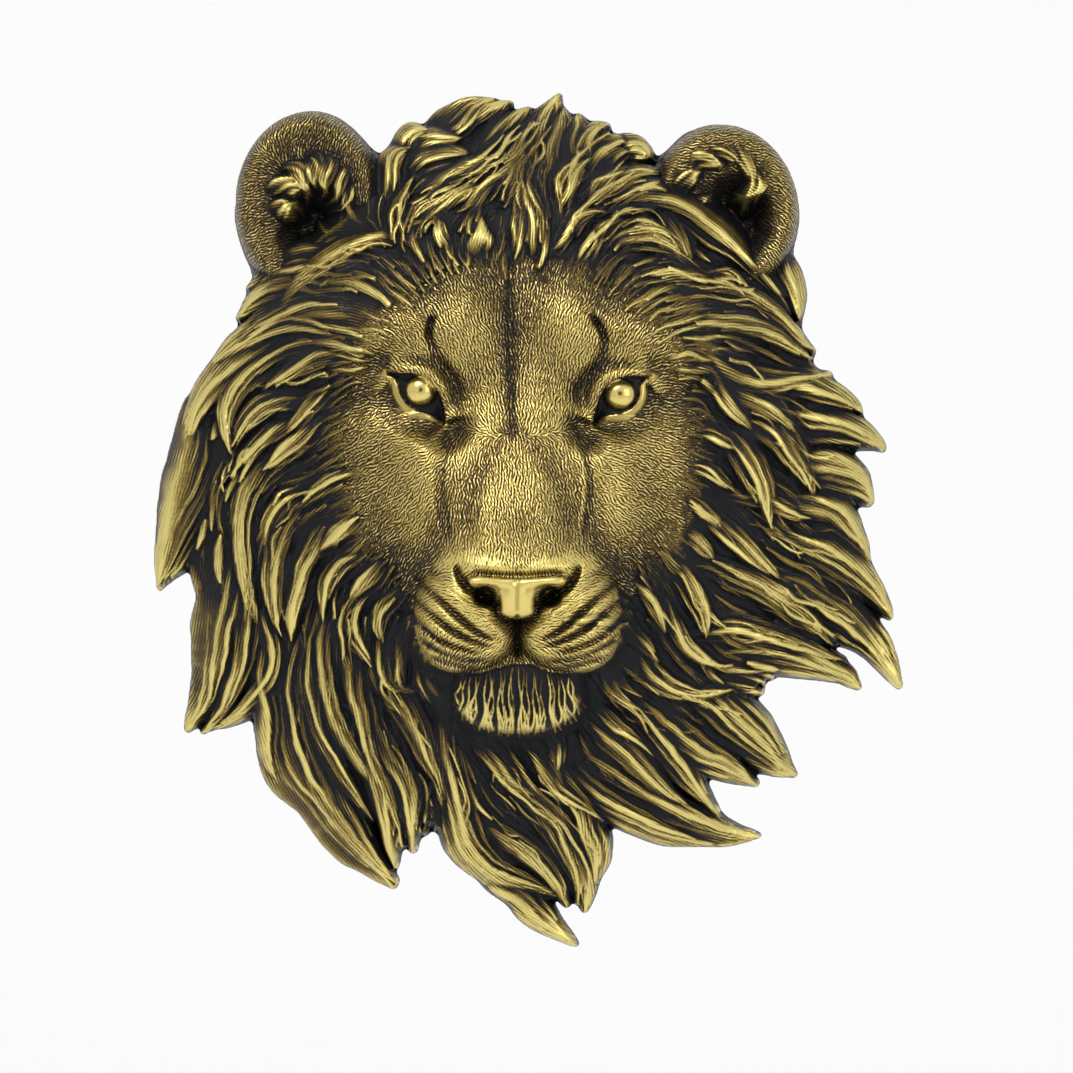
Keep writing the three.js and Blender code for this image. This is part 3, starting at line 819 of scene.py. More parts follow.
@dataclass(frozen=True)
class Ear:
    """One rounded ear: a broad furred rim round a dark hollow, with tufts that curl over it."""

    x: float
    z: float
    rx: float
    rz: float
    rim_at: float
    cup_at: float
    hollow: Point
    tufts: tuple[Row, ...]
    gold: float
    rim: float = 23.0
    cup: float = 9.0
    edge: float = 3.0
    band_fall: float = 2.5
    wave: float = 0.012
    ragged: float = 0.03
    faint: float = 0.12
    hollow_dark: float = 0.5
    tuft_sunk: float = 1.6
    tuft_gold: float = 0.8
    margin: Point = (26.0, 31.0)

    def lay(self, relief: Relief, seed: int) -> None:
        """Put the ear on the relief.

        Args:
            relief: what it is put on.
            seed: number that sets its scatter.
        """
        wide, high = self.margin
        window = relief.window(self.x - wide, self.x + wide, self.z - high, self.z + high)
        x, z = relief.x[window], relief.z[window]
        dx, dz = x - self.x, z - self.z
        angle = np.arctan2(dz / self.rz, dx / self.rx)
        wave = 1 + self.wave * ripple(angle * 2.2 + seed, np.full_like(x, seed))
        reach = np.hypot(dx / self.rx, dz / self.rz) / wave
        shift = np.clip(1 - reach, 0, 1)
        inner_x, inner_z = dx - self.hollow[0] * shift, dz - self.hollow[1] * shift
        inner_reach = np.hypot(inner_x / self.rx, inner_z / self.rz)
        inner_reach = inner_reach + self.ragged * ripple(angle * 5, reach * 4, seed + 5)
        out = np.clip((reach - self.rim_at) / (1 - self.rim_at), 0, 1)
        outer = self.edge + (self.rim - self.edge) * np.sqrt(np.clip(1 - out ** 2, 0, 1))
        into = np.clip((self.cup_at - inner_reach) / (self.cup_at * 0.55), 0, 1)
        band = self.rim - self.band_fall * (self.rim_at - reach) / (self.rim_at - self.cup_at)
        inner = self.cup + (band - self.cup) * (0.5 + 0.5 * np.cos(math.pi * into))
        depth = np.where(reach > self.rim_at, outer, inner)
        tone = self.faint + self.gold * smooth_step(0.6, 0.92, reach)
        tone = tone * smooth_step(self.cup_at - 0.1, self.cup_at + 0.1, inner_reach)
        tone = tone - self.hollow_dark * smooth_step(self.cup_at, self.cup_at - 0.15, inner_reach)
        relief.raise_to(window, depth, (reach - 1) * self.rx, gx=np.cos(angle), gz=np.sin(angle),
                        kind=np.full(x.shape, int(Surface.EAR)), tone=tone)

    def curl(self, relief: Relief, hair: "Hair", seed: int) -> None:
        """Lay the tufts over the hollow.

        Args:
            relief: what they are laid on.
            hair: how locks are shaped.
            seed: number that sets their scatter.
        """
        ground = relief.ground
        relief.ground = np.full(ground.shape, self.rim - self.band_fall - self.tuft_sunk)
        for k, row in enumerate(self.tufts):
            hair.lock(relief, row, 300 + 20 * seed + k, gold=self.tuft_gold)
        relief.ground = ground


EARS: tuple[Ear, ...] = (
    Ear(-59.5, 84, 20.3, 25.6, 0.80, 0.60, (6.0, -8.0), (
        (-68, 78, -66.5, 82, -63, 83.5, 5), (-68.5, 84, -66, 88, -61, 87, 6),
        (-66.5, 91, -63, 92.5, -59.5, 86, 6), (-62.5, 96, -59, 95, -57, 87.5, 6),
        (-57.5, 97.5, -55, 94.5, -54.5, 86.5, 6), (-52.5, 95, -50.5, 91, -52, 84.5, 5),
        (-48.5, 91, -47.5, 87, -50.5, 82, 5), (-47, 84, -48, 80.5, -51.5, 78, 4)), 0.22),
    Ear(51.8, 82, 20.4, 24, 0.80, 0.58, (4.0, -5.0), (
        (37.5, 81, 41, 87.5, 47.5, 90, 6), (40, 87, 45.5, 92.5, 52.5, 91, 6),
        (43.5, 93, 50, 96.5, 57, 91.5, 6), (49.5, 97.5, 56, 96.5, 59.5, 88.5, 6),
        (57, 96, 61, 90, 58, 84.5, 5), (38, 75, 42, 80.5, 48.5, 84, 5)), 0.5),
)


@dataclass
class Hair:
    """How strands and locks of the mane are shaped."""

    line_spacing: float = 3.0
    lock_lift: float = 5.0
    full_width: float = 8.0
    root_sunk: float = 0.4
    lift_peak: float = 0.65
    crown: float = 0.38
    fine_line: Point = (1.0, 0.9)
    reach: float = 3.5
    roundness: float = 1.1
    skew: float = 1.2
    swing: tuple[Point, Point] = ((0.22, 5.5), (0.05, 13.0))
    crest_gold: float = 0.68
    off_crest_dark: float = 0.75

    def lift_share(self, share: Array, sunk: float) -> Array:
        """How much of its lift a lock has at a share of its length, from a root sunk by another share."""
        swell = np.sin(np.clip(share, 0, 1) / self.lift_peak * math.pi / 2)
        return (1 + sunk) * swell - sunk

    @staticmethod
    def width_share(share: Array) -> Array:
        """How much of its width a lock has at a share of its length.

        Args:
            share: places along the lock, from 0 to 1.

        Returns:
            The width there over the full width.
        """
        swell = np.sin(np.minimum(1, share / 0.55) * math.pi / 2)
        root = np.sqrt(np.clip(share / 0.1, 0, 1))
        return root * (0.85 + 0.15 * swell) * np.maximum(0, 1 - share ** 3.6) ** 0.9

    @staticmethod
    def curve(row: Row, samples: int) -> tuple[Array, Array, Array]:
        """Points of the curve through a lock's root, middle and tip.

        Args:
            row: the lock's root, middle and tip.
            samples: how many points.

        Returns:
            Each point's share of the way, and its place across and up.
        """
        rx, rz, mx, mz, tx, tz = row[:6]
        t = np.linspace(0, 1, samples)
        bx, bz = 2 * mx - (rx + tx) / 2, 2 * mz - (rz + tz) / 2
        return (t, (1 - t) ** 2 * rx + 2 * t * (1 - t) * bx + t * t * tx,
                (1 - t) ** 2 * rz + 2 * t * (1 - t) * bz + t * t * tz)

    def strand(self, relief: Relief, px: Array, pz: Array, width: float, lift: Union[float, Array],
               tone: Point, fine: bool = False) -> None:
        """One strand: a thin rounded ridge with a pointed end.

        Args:
            relief: what it lies on.
            px: points of its middle line, across.
            pz: points of its middle line, up.
            width: its full width.
            lift: height of its crest over the head, or that at even steps along it.
            tone: how readily it takes the gold, at its root and its tip.
            fine: whether it is a fine line that clings to the head, with black flanks.
        """
        cling, dark_side = self.fine_line if fine else (0.5, 0.0)
        mark = relief.trace(px, pz, width / 2 + self.reach, wavy=not fine)
        swell = np.minimum(1, 0.3 + mark.share * 2.4) * np.maximum(0, 1 - mark.share ** 3) ** 0.7
        half = width / 2 * np.maximum(swell, 0.05)
        out = np.maximum(np.abs(mark.side) - half, np.maximum(-mark.on, mark.on - mark.length))
        s = np.clip(mark.side / half, -1, 1)
        arc = np.linspace(0, mark.length, len(px))
        line = np.interp(mark.on, arc, relief.at(relief.ground, px, pz))
        crest = line + cling * (relief.ground[mark.window] - line)
        crest = crest + np.interp(mark.share, np.linspace(0, 1, np.size(lift)), np.atleast_1d(lift))
        body = crest - self.roundness * half * (1 - np.sqrt(1 - 0.97 * s * s))
        root, tip = tone
        rubbed = root + (tip - root) * mark.share - dark_side * smooth_step(0.0, 0.5, out)
        relief.raise_to(mark.window, body, out, gx=mark.gx, gz=mark.gz,
                        kind=np.full(s.shape, int(Surface.LOCK)), tone=rubbed)

    def lock(self, relief: Relief, row: Row, seed: int, back: float = 0.0, gold: float = 1.0,
             deeper: float = 0.0) -> None:
        """One lock: a broad body with its crest to one side, and thin ridges along it.

        Args:
            relief: what it lies on.
            row: root, middle and tip of its curve, and its width.
            seed: number that sets its scatter.
            back: how far its sunk root runs on behind the row's.
            gold: how readily it takes the gold.
            deeper: how much further its root is sunk, as a share of its lift.
        """
        width = row[6]
        sunk = self.root_sunk + deeper
        _, cx, cz = self.curve(row, 20)
        if back > 0:
            dx, dz = cx[1] - cx[0], cz[1] - cz[0]
            step = back / math.hypot(dx, dz) / 4
            cx = np.concatenate([cx[0] - dx * step * np.arange(4, 0, -1), cx])
            cz = np.concatenate([cz[0] - dz * step * np.arange(4, 0, -1), cz])
        steps = np.concatenate([[0], np.cumsum(np.hypot(np.diff(cx), np.diff(cz)))])
        t = steps / steps[-1]
        mark = relief.trace(cx, cz, width / 2 + 5, wavy=True)
        half = width / 2 * np.maximum(self.width_share(mark.share), 0.03)
        out = np.maximum(np.abs(mark.side) - half, np.maximum(-mark.on, mark.on - mark.length))
        s = np.clip(mark.side / half, -1, 1)
        tall = self.lock_lift * min(1, width / self.full_width)
        under = np.interp(mark.on, steps, relief.at(relief.ground, cx, cz))
        ground = 0.5 * under + 0.5 * relief.ground[mark.window]
        crest = ground + tall * self.lift_share(mark.share, sunk)
        skew = self.skew * (float(scatter(seed, 5)) - 0.5)
        aside = np.abs((s - skew) / np.where(s > skew, 1 - skew, 1 + skew))
        round_over = self.crown * (0.25 + 0.75 * smooth_step(0.0, 0.45, mark.share))
        body = crest - 2 * half * round_over * aside ** 1.4 - 0.4
        rubbed = smooth_step(0.15, 0.9, mark.share)
        rubbed = rubbed * (1 - self.off_crest_dark * smooth_step(0.15, 1.0, aside))
        relief.raise_to(mark.window, body, out, gx=mark.gx, gz=mark.gz,
                        kind=np.full(s.shape, int(Surface.LOCK)),
                        tone=gold * (-0.05 + self.crest_gold * rubbed))
        count = max(3, round(width / self.line_spacing) + 1)
        phase = 6.28 * float(scatter(seed, 6))
        for k in range(count):
            a, b, c, d = (float(scatter(seed, k, m)) for m in range(4))
            place = (k + 0.5) / count * 2 - 1 + 0.5 * (a - 0.5) / count
            run = np.linspace(0.3 * b * b, 1.0 - 0.3 * c * (abs(place) * 0.8 + 0.2), 16)
            px, pz = np.interp(run, t, cx), np.interp(run, t, cz)
            gx, gz = np.gradient(px), np.gradient(pz)
            norm = np.hypot(gx, gz)
            (slow_size, slow), (quick_size, quick) = self.swing
            swing = slow_size * np.sin(run * slow + phase) + quick_size * np.sin(run * quick + 6.28 * d)
            at_half = width / 2 * self.width_share(run)
            seat = np.clip(place + swing * (1 - abs(place)), -0.97, 0.97)
            off_crest = np.abs((seat - skew) / np.where(seat > skew, 1 - skew, 1 + skew))
            fall = 2 * at_half * self.crown * (0.25 + 0.75 * smooth_step(0.0, 0.45, run)) * off_crest ** 1.4
            high = tall * self.lift_share(run, sunk) - fall + (0.1 + 0.5 * a)
            thick = (1.5 + 1.0 * d + (1.2 if (k + seed) % 3 == 0 else 0.0)) * min(1.0, 0.5 + width / 20)
            bright = gold * (1 - self.off_crest_dark * float(off_crest.mean()))
            self.strand(relief, px + gz / norm * seat * at_half, pz - gx / norm * seat * at_half, thick, high,
                        tone=(bright * (0.1 + 0.3 * a), bright * (0.7 + 0.25 * b)))


@dataclass
class Flow:
    """Direction of the hair anywhere in the mane, averaged from the locks near by."""

    rows: Sequence[Row]
    cell: float = 4.0
    reach: float = 7.0
    half: float = 120.0
    line: Array = field(init=False)
    vx: Array = field(init=False)
    vz: Array = field(init=False)

    def __post_init__(self) -> None:
        """Average the locks' directions over a coarse grid."""
        self.line = np.arange(-self.half, self.half + self.cell, self.cell)
        gx, gz = np.meshgrid(self.line, self.line)
        self.vx, self.vz = np.zeros(gx.shape), np.zeros(gx.shape)
        for row in self.rows:
            _, cx, cz = Hair.curve(row, 9)
            dx, dz = np.gradient(cx), np.gradient(cz)
            norm = np.hypot(dx, dz)
            for i in range(len(cx)):
                weight = 1 / (1 + ((gx - cx[i]) ** 2 + (gz - cz[i]) ** 2) / self.reach ** 2) ** 2.5
                self.vx += weight * dx[i] / norm[i]
                self.vz += weight * dz[i] / norm[i]

    def at(self, x: float, z: float) -> Point:
        """Unit direction at a point.

        Args:
            x: place across.
            z: place up.

        Returns:
            The direction's parts, across and up.
        """
        last = len(self.line) - 1.001
        fi = min(max((x + self.half) / self.cell, 0), last)
        fj = min(max((z + self.half) / self.cell, 0), last)
        i, j = int(fi), int(fj)
        a, b = fi - i, fj - j
        vx, vz = ((g[j, i] * (1 - a) + g[j, i + 1] * a) * (1 - b)
                  + (g[j + 1, i] * (1 - a) + g[j + 1, i + 1] * a) * b
                  for g in (self.vx, self.vz))
        length = math.hypot(vx, vz) + 1e-9
        return vx / length, vz / length

    def grid(self, relief: Relief) -> tuple[Array, Array]:
        """Unit directions over the whole relief.

        Args:
            relief: the grid.

        Returns:
            The direction's parts over the grid, across and up.
        """
        fi = (relief.xs + self.half) / self.cell
        fj = (relief.zs + self.half) / self.cell
        i, j = fi.astype(int), fj.astype(int)
        a, b = (fi - i)[None, :], (fj - j)[:, None]
        maps = []
        for g in (self.vx, self.vz):
            low = g[np.ix_(j, i)] * (1 - a) + g[np.ix_(j, i + 1)] * a
            top = g[np.ix_(j + 1, i)] * (1 - a) + g[np.ix_(j + 1, i + 1)] * a
            maps.append(low * (1 - b) + top * b)
        length = np.hypot(*maps) + 1e-9
        return maps[0] / length, maps[1] / length

    def walk(self, x: float, z: float, length: float, steps: int = 8,
             turn: float = 0.0) -> tuple[Array, Array]:
        """Follow the hair from a point.

        Args:
            x: start, across.
            z: start, up.
            length: how far to go.
            steps: points on the way.
            turn: how much to bear off, in radians over the whole way.

        Returns:
            The points of the way, across and up.
        """
        px, pz = [x], [z]
        for k in range(steps):
            vx, vz = self.at(x, z)
            bear = turn * (k / steps - 0.3)
            c, s = math.cos(bear), math.sin(bear)
            x += (vx * c - vz * s) * length / steps
            z += (vx * s + vz * c) * length / steps
            px.append(x)
            pz.append(z)
        return np.array(px), np.array(pz)


# Each lock is its root, middle and tip, across and up, and its full width, in mm
LEFT_LOCKS: tuple[Row, ...] = (
    (-45, 58, -63, 57, -82, 49, 8),
    (-45, 51, -69, 53, -87, 41, 8),
    (-48, 45, -60, 43, -72, 35, 7),
    (-62, 46, -79, 36, -80, 17, 9),
    (-60, 33, -72, 30, -80, 19, 7),
    (-60, 28, -72, 21, -79, 10, 6),
    (-54, 35, -61, 28, -66, 22, 6),
    (-50, 29, -60, 22, -71, 12, 7),
    (-68, 50, -84, 36, -95, 14, 12),
    (-84, 34, -91, 8, -100, -17.5, 20),
    (-68, 15, -75.5, -5, -73, -29, 7),
    (-80, -4, -82, -32, -93.5, -57, 19),
    (-70, -28, -70, -46, -86, -57, 9),
    (-76, -22, -79, -42, -89, -58, 10),
    (-50, 3, -60, -12, -63.5, -33, 8),
    (-47, 9, -63, 4, -71, -14, 6),
    (-62, -1, -68, -14, -66, -32, 7),
    (-43, -7, -51, -15, -53, -27, 7),
    (-39, -16, -46, -27, -41, -40, 6),
    (-31, -17, -37, -25, -38.5, -34, 5),
    (-29.5, -27, -33.5, -35, -33, -44, 5),
    (-27, -37, -29, -43, -26, -50, 5),
    (-35, -9, -41, -15, -46, -23, 5),
    (-42, 3, -49, -1, -56, -9, 5),
    (-44, 14, -52, 11, -60, 3, 5),
)

BEARD_LOCKS: tuple[Row, ...] = (
    (-70, -36, -71, -54, -64, -74, 10),
    (-64, -36, -62, -68, -37, -99.5, 18),
    (-58, -30, -58, -54, -44, -82, 10),
    (-51, -26, -51, -52, -37, -79, 10),
    (-37, -32, -37, -42, -29, -46, 6),
    (-38, -42, -30, -58, -25, -79, 10),
    (-46, -38, -42, -62, -35, -88, 12),
    (-60, -58, -54, -78, -36.5, -98, 14),
    (-46, -54, -41, -74, -37, -93.5, 11),
    (-42, -52, -36, -72, -31.5, -89, 11),
    (-28, -37, -27, -44, -21, -50, 6),
    (-21, -55, -14, -90, 10, -103, 15),
    (-15, -90, -2, -104, 12.8, -115, 9),
    (-8, -84, 3, -94, 10, -106, 10),
    (-9, -63, 9, -84, 14.5, -106, 16),
    (0, -74, 9, -90, 12.5, -104, 9),
    (-18, -53, -8, -66, 8, -75, 7),
    (-6, -57, 5, -66, 14, -79, 7),
    (8, -56, 32, -76, 61.7, -87, 17),
    (14, -69, 29, -80, 49, -88, 9),
    (0, -60, 12, -73, 21, -81, 9),
    (4, -55, 8, -61, 9, -69, 6),
    (-25, -34, -27.5, -41, -23, -48, 5),
    (-31, -30, -35, -38, -33, -48, 6),
    (8, -66, 15.5, -80, 16.5, -97, 11),
)

RIGHT_LOCKS: tuple[Row, ...] = (
    (12, -47, 26, -61, 45, -78, 9),
    (19, -41, 36, -58, 51, -79, 9),
    (27, -35, 39, -45, 54, -46, 7),
    (34, -20, 40, -33, 50, -40, 6),
    (33, -51, 46, -62, 63, -70, 9),
    (44, -47, 57, -57, 72.5, -68, 14),
    (58, -36, 76, -39, 90.5, -48, 11),
    (48, -29, 62, -31, 84, -38, 9),
    (60, -13, 82, -25, 101.5, -47, 13),
    (44, -13, 60, -17, 80, -33, 8),
    (67, -4, 83, -12, 95.5, -27, 13),
    (72, 5, 84, 0, 90.5, -12, 11),
    (70, 15, 84, 10, 93, 3, 12),
    (70, 27, 84, 22, 94, 16.5, 10),
    (68, 37, 80, 33, 87.5, 26.5, 9),
    (40, 44, 60, 37, 80.5, 38.5, 7),
    (56, 29, 68, 21, 75, 7, 9),
    (48, 36, 62, 32, 71, 22, 7),
    (40, 38, 50, 35, 59, 25, 6),
    (50, 28, 59, 15, 64, -1, 8),
    (57, 7, 66, 5, 76, 2, 6),
    (46, 4, 55, -5, 66, -15, 7),
    (35, -12, 43, -21, 46, -32, 7),
    (41, -4, 46, -7, 50, -12, 5),
    (25, -17, 31, -23, 35, -31, 5),
    (24, -27, 29, -34, 35, -39, 5),
    (20, -38, 26, -44, 33, -48, 5),
    (39, 6, 46, 3, 53, -4, 5),
    (41, 16, 48, 14, 56, 8, 5),
    (42, 26, 49, 25, 57, 19, 5),
    (21, -33, 27, -40, 34, -43, 5),
    (18, -38, 24, -46, 33, -53, 6),
    (15, -46, 24, -56, 36, -64, 7),
)

CROWN_LOCKS: tuple[Row, ...] = (
    (21.7, 96, 26, 98, 31.3, 95.2, 8),
    (-35.6, 95, -31.8, 102.2, -24.9, 104.8, 8),
    (-24.3, 100.6, -17.4, 108.0, -9.4, 114.2, 12),
    (-17.4, 102.2, -9.9, 109.1, -5.1, 113.4, 8),
    (-7.8, 101.8, -3.2, 107.0, -0.3, 111.3, 8),
    (0.8, 92.1, 2.9, 103.8, 7.6, 115.4, 11),
    (8.3, 93.2, 8.9, 102.7, 8.4, 110.7, 8),
    (13.1, 94.3, 13.0, 101.6, 12.2, 108.0, 7),
    (13.6, 95.3, 15.8, 101.1, 19.6, 104.2, 8),
    (16.8, 94.2, 20.6, 99.0, 24.9, 99.5, 7),
    (19.5, 93.1, 23.8, 96.3, 27.5, 96.3, 6),
    (-2.4, 91.5, -1.3, 100.0, 0.8, 107.6, 7),
    (-34.0, 95.3, -26.5, 101.1, -16.3, 102.4, 9),
    (-36.6, 89.9, -26.5, 96.3, -14.2, 97.1, 9),
    (-22.2, 88.9, -14.7, 93.1, -6.2, 94.1, 8),
    (-38, 90, -37, 96, -31, 100, 8),
    (-13.6, 85.1, -6.7, 90.9, 2.7, 90.4, 8),
    (-24.0, 80.0, -17.0, 86.0, -9.0, 87.5, 8),
    (21.7, 83.5, 26.5, 87.2, 31.0, 86.6, 7),
    (15.8, 82.5, 20.6, 89.3, 26.2, 92.8, 9),
    (8.3, 84.6, 11.5, 90.9, 16.3, 95.2, 8),
    (2.4, 69.7, 1.5, 80.2, 2.4, 89.9, 11),
    (-5.1, 65.9, -4.0, 75.9, -1.3, 85.6, 5),
    (8.3, 76.1, 6.6, 82.4, 2.9, 88.3, 4),
    (8.3, 76.1, 13.6, 80.0, 19.5, 79.4, 6),
    (16.8, 71.3, 20.6, 75.4, 25.3, 77.6, 6),
    (11.0, 65.0, 15.0, 71.0, 18.0, 76.0, 6),
    (-12.0, 65.0, -13.0, 72.0, -11.0, 80.0, 6),
    (-18.0, 66.0, -20.5, 72.0, -21.0, 78.0, 5),
    (-31.8, 75.0, -33.4, 82.9, -29.8, 92.0, 6),
    (-33.0, 75.4, -24.9, 77.8, -17.9, 79.6, 4),
    (-57.2, 67.5, -65.3, 66.2, -77.3, 60.8, 9),
    (-31.0, 70.5, -47.0, 70.9, -70.6, 54.5, 9),
    (30, 83, 48, 77, 70, 54, 9),
    (31.8, 82.4, 36.1, 77.0, 42.4, 68.1, 8),
    (19.7, 69.6, 29.2, 73.3, 42.4, 68.5, 9),
    (30, 62, 40, 64, 48, 62, 6),
    (34, 56, 54, 58, 75, 45, 9),
    (44, 50, 60, 50, 74, 43, 8),
    (61, 74, 69, 64, 72, 53, 9),
    (18, 84, 27, 90, 35, 91, 10),
    (26, 84, 33, 87, 38, 85, 9),
    (-60, 60, -70, 60, -80, 54, 10),
)


def mirrored(rows: Sequence[Row]) -> tuple[Row, ...]:
    """The same guides on the other side of the face."""
    twice = 2 * FACE_AXIS
    return tuple((twice - a, b, twice - c, d, twice - e, f, g) for a, b, c, d, e, f, g in rows)


# Lines that only give the fur of the face its direction, from root to tip
LEFT_GUIDES: tuple[Row, ...] = (
    (-4, 18, -4, 3, -4, -13, 1),
    (-12, 16, -13, 3, -12, -12, 1),
    (-19, 18, -20, 5, -19, -8, 1),
    (-6, 26, -8, 42, -11, 62, 1),
    (-11, 26, -15, 43, -22, 64, 1),
    (-17, 36, -20, 48, -30, 64, 1),
    (-27, 42, -31, 52, -41, 62, 1),
    (-36, 42, -42, 47, -50, 50, 1),
    (-40, 36, -46, 36, -53, 32, 1),
    (-26, 21, -35, 20, -47, 12, 1),
    (-25, 12, -34, 6, -46, -4, 1),
    (-24, 3, -32, -5, -42, -16, 1),
    (-23, -5, -28, -12, -34, -22, 1),
    (-7, -29, -15, -29, -28, -25, 1),
    (-9, -24, -17, -20, -25, -15, 1),
    (-7, -33, -12, -37, -19, -41, 1),
    (-4, -40, -4, -48, -4, -58, 1),
    (-9, -42, -11, -49, -15, -56, 1),
)
FACE_GUIDES: tuple[Row, ...] = LEFT_GUIDES + mirrored(LEFT_GUIDES)


@dataclass
class Mane:
    """All the hair round the face: loose strands below, locks above and short tufts at the face's edge."""

    hair: Hair
    outline: tuple[Point, ...]
    rows: tuple[Row, ...] = LEFT_LOCKS + BEARD_LOCKS + RIGHT_LOCKS + CROWN_LOCKS
    golds: tuple[tuple[float, tuple[Row, ...]], ...] = (
        (1.12, LEFT_LOCKS), (0.86, BEARD_LOCKS), (0.96, RIGHT_LOCKS), (0.72, CROWN_LOCKS))
    spacing: float = 4.3
    strand_length: Point = (16.0, 32.0)
    wisp_spacing: float = 3.3
    wisp_share: float = 0.22
    spread: float = 4.4
    wisp_spread: float = 3.0
    wisp_wave: float = 0.4
    ruff_wave: float = 0.32
    back_share: Point = (0.6, 0.4)
    crown_from: float = 60.0
    ruff_rings: tuple[float, ...] = (0.94, 0.99, 1.04, 1.09, 1.14, 1.2)
    ruff_count: int = 120
    flow: Flow = field(init=False)

    def __post_init__(self) -> None:
        """Work out which way the hair runs."""
        self.flow = Flow(self.rows + FACE_GUIDES)

    @staticmethod
    def off_face(x: float, z: float) -> float:
        """How far out from the face a point is, 1 at its edge."""
        return float(EGG.reach(x, z))

    def in_face(self, x: float, z: float) -> bool:
        """Whether a point is where no lock may begin."""
        return self.off_face(x, z) < 1.06 or float(CHIN.reach(x, z)) < 1.15

    def comb(self, relief: Relief) -> None:
        """Give the fur of the face its direction."""
        relief.gx, relief.gz = self.flow.grid(relief)

    def fill(self, relief: Relief) -> int:
        """Cover the mass with loose strands.

        Args:
            relief: what they are laid on.

        Returns:
            How many there are.
        """
        outline = rounded(self.outline, closed=True)
        starts = np.arange(-110, 112, self.spacing)
        gx, gz = np.meshgrid(starts, starts)
        gx = gx + self.spread * (scatter(gx, gz, 1) - 0.5)
        gz = gz + self.spread * (scatter(gx, gz, 2) - 0.5)
        inside = inside_distance(gx, gz, outline)
        count = 0
        for x, z, depth_in in zip(gx.ravel(), gz.ravel(), inside.ravel()):
            if depth_in < 3 or self.off_face(x, z) < 1 or CHIN.reach(x, z) < 1:
                continue
            a, b, c = (float(scatter(x, z, m)) for m in (3, 4, 5))
            short, long = self.strand_length
            length = min(short + (long - short) * a, max(depth_in + 1, 7))
            px, pz = self.flow.walk(x, z, length, turn=1.2 * (b - 0.5))
            self.hair.strand(relief, px, pz, width=1.7 + 1.5 * c, lift=-0.3 + 3.2 * a * c,
                             tone=(0.15, 0.38 + 0.5 * c))
            count += 1
        return count

    def wisps(self, relief: Relief) -> int:
        """Lay thin wavy hairs over the locks, closest together on the crown.

        Args:
            relief: what they are laid on.

        Returns:
            How many there are.
        """
        outline = rounded(self.outline, closed=True)
        starts = np.arange(-110, 112, self.wisp_spacing)
        gx, gz = np.meshgrid(starts, starts)
        gx = gx + self.wisp_spread * (scatter(gx, gz, 11) - 0.5)
        gz = gz + self.wisp_spread * (scatter(gx, gz, 12) - 0.5)
        inside = inside_distance(gx, gz, outline)
        count = 0
        for x, z, depth_in in zip(gx.ravel(), gz.ravel(), inside.ravel()):
            a, b, c, d = (float(scatter(x, z, m)) for m in (13, 14, 15, 16))
            kept = 1.0 if z > self.crown_from else self.wisp_share
            if depth_in < 10 or self.off_face(x, z) < 1.12 or CHIN.reach(x, z) < 1.1 or a > kept:
                continue
            px, pz = self.flow.walk(x, z, 9 + 9 * b, turn=1.6 * (c - 0.5))
            nx, nz = np.gradient(px), np.gradient(pz)
            norm = np.hypot(nx, nz)
            wave = self.wisp_wave * np.sin(np.linspace(0, 7, len(px)) + 6.28 * d)
            px, pz = px + nz / norm * wave, pz - nx / norm * wave
            shown = relief.at(relief.depth, px, pz) - relief.at(relief.ground, px, pz)
            lift = np.clip(blur(shown[None, :], 1.5)[0], -0.5, 6) + 0.35
            self.hair.strand(relief, px, pz, width=0.8 + 0.5 * d, lift=lift, tone=(0.1, 0.25 + 0.4 * c))
            count += 1
        return count

    def ruff(self, relief: Relief) -> int:
        """Lay the thin wavy hair that leads from the face's fur into the mane.

        Args:
            relief: what it is laid on.

        Returns:
            How many strands there are.
        """
        count = 0
        for ring, reach in enumerate(self.ruff_rings):
            for k in range(self.ruff_count):
                a, b, c = (float(scatter(k, ring, m)) for m in (7, 8, 9))
                angle = 2 * math.pi * (k + 0.5 * (ring % 2) + 0.4 * (a - 0.5)) / self.ruff_count
                x = EGG.x + EGG.half * reach * math.cos(angle)
                z = EGG.z + (EGG.above if angle < math.pi else EGG.below) * reach * math.sin(angle)
                if abs(x - FACE_AXIS) < 29 and z < -13:
                    continue
                px, pz = self.flow.walk(x, z, 8 + 9 * b, turn=1.0 * (c - 0.5))
                wave = self.ruff_wave * np.sin(np.linspace(0, 5 + 3 * a, len(px)) + 6.28 * c)
                gx, gz = np.gradient(px), np.gradient(pz)
                norm = np.hypot(gx, gz)
                self.hair.strand(relief, px + gz / norm * wave, pz - gx / norm * wave, width=0.9 + 0.6 * a,
                                 lift=0.1 + 0.8 * a, tone=(0.2, 0.35 + 0.4 * b))
                count += 1
        return count

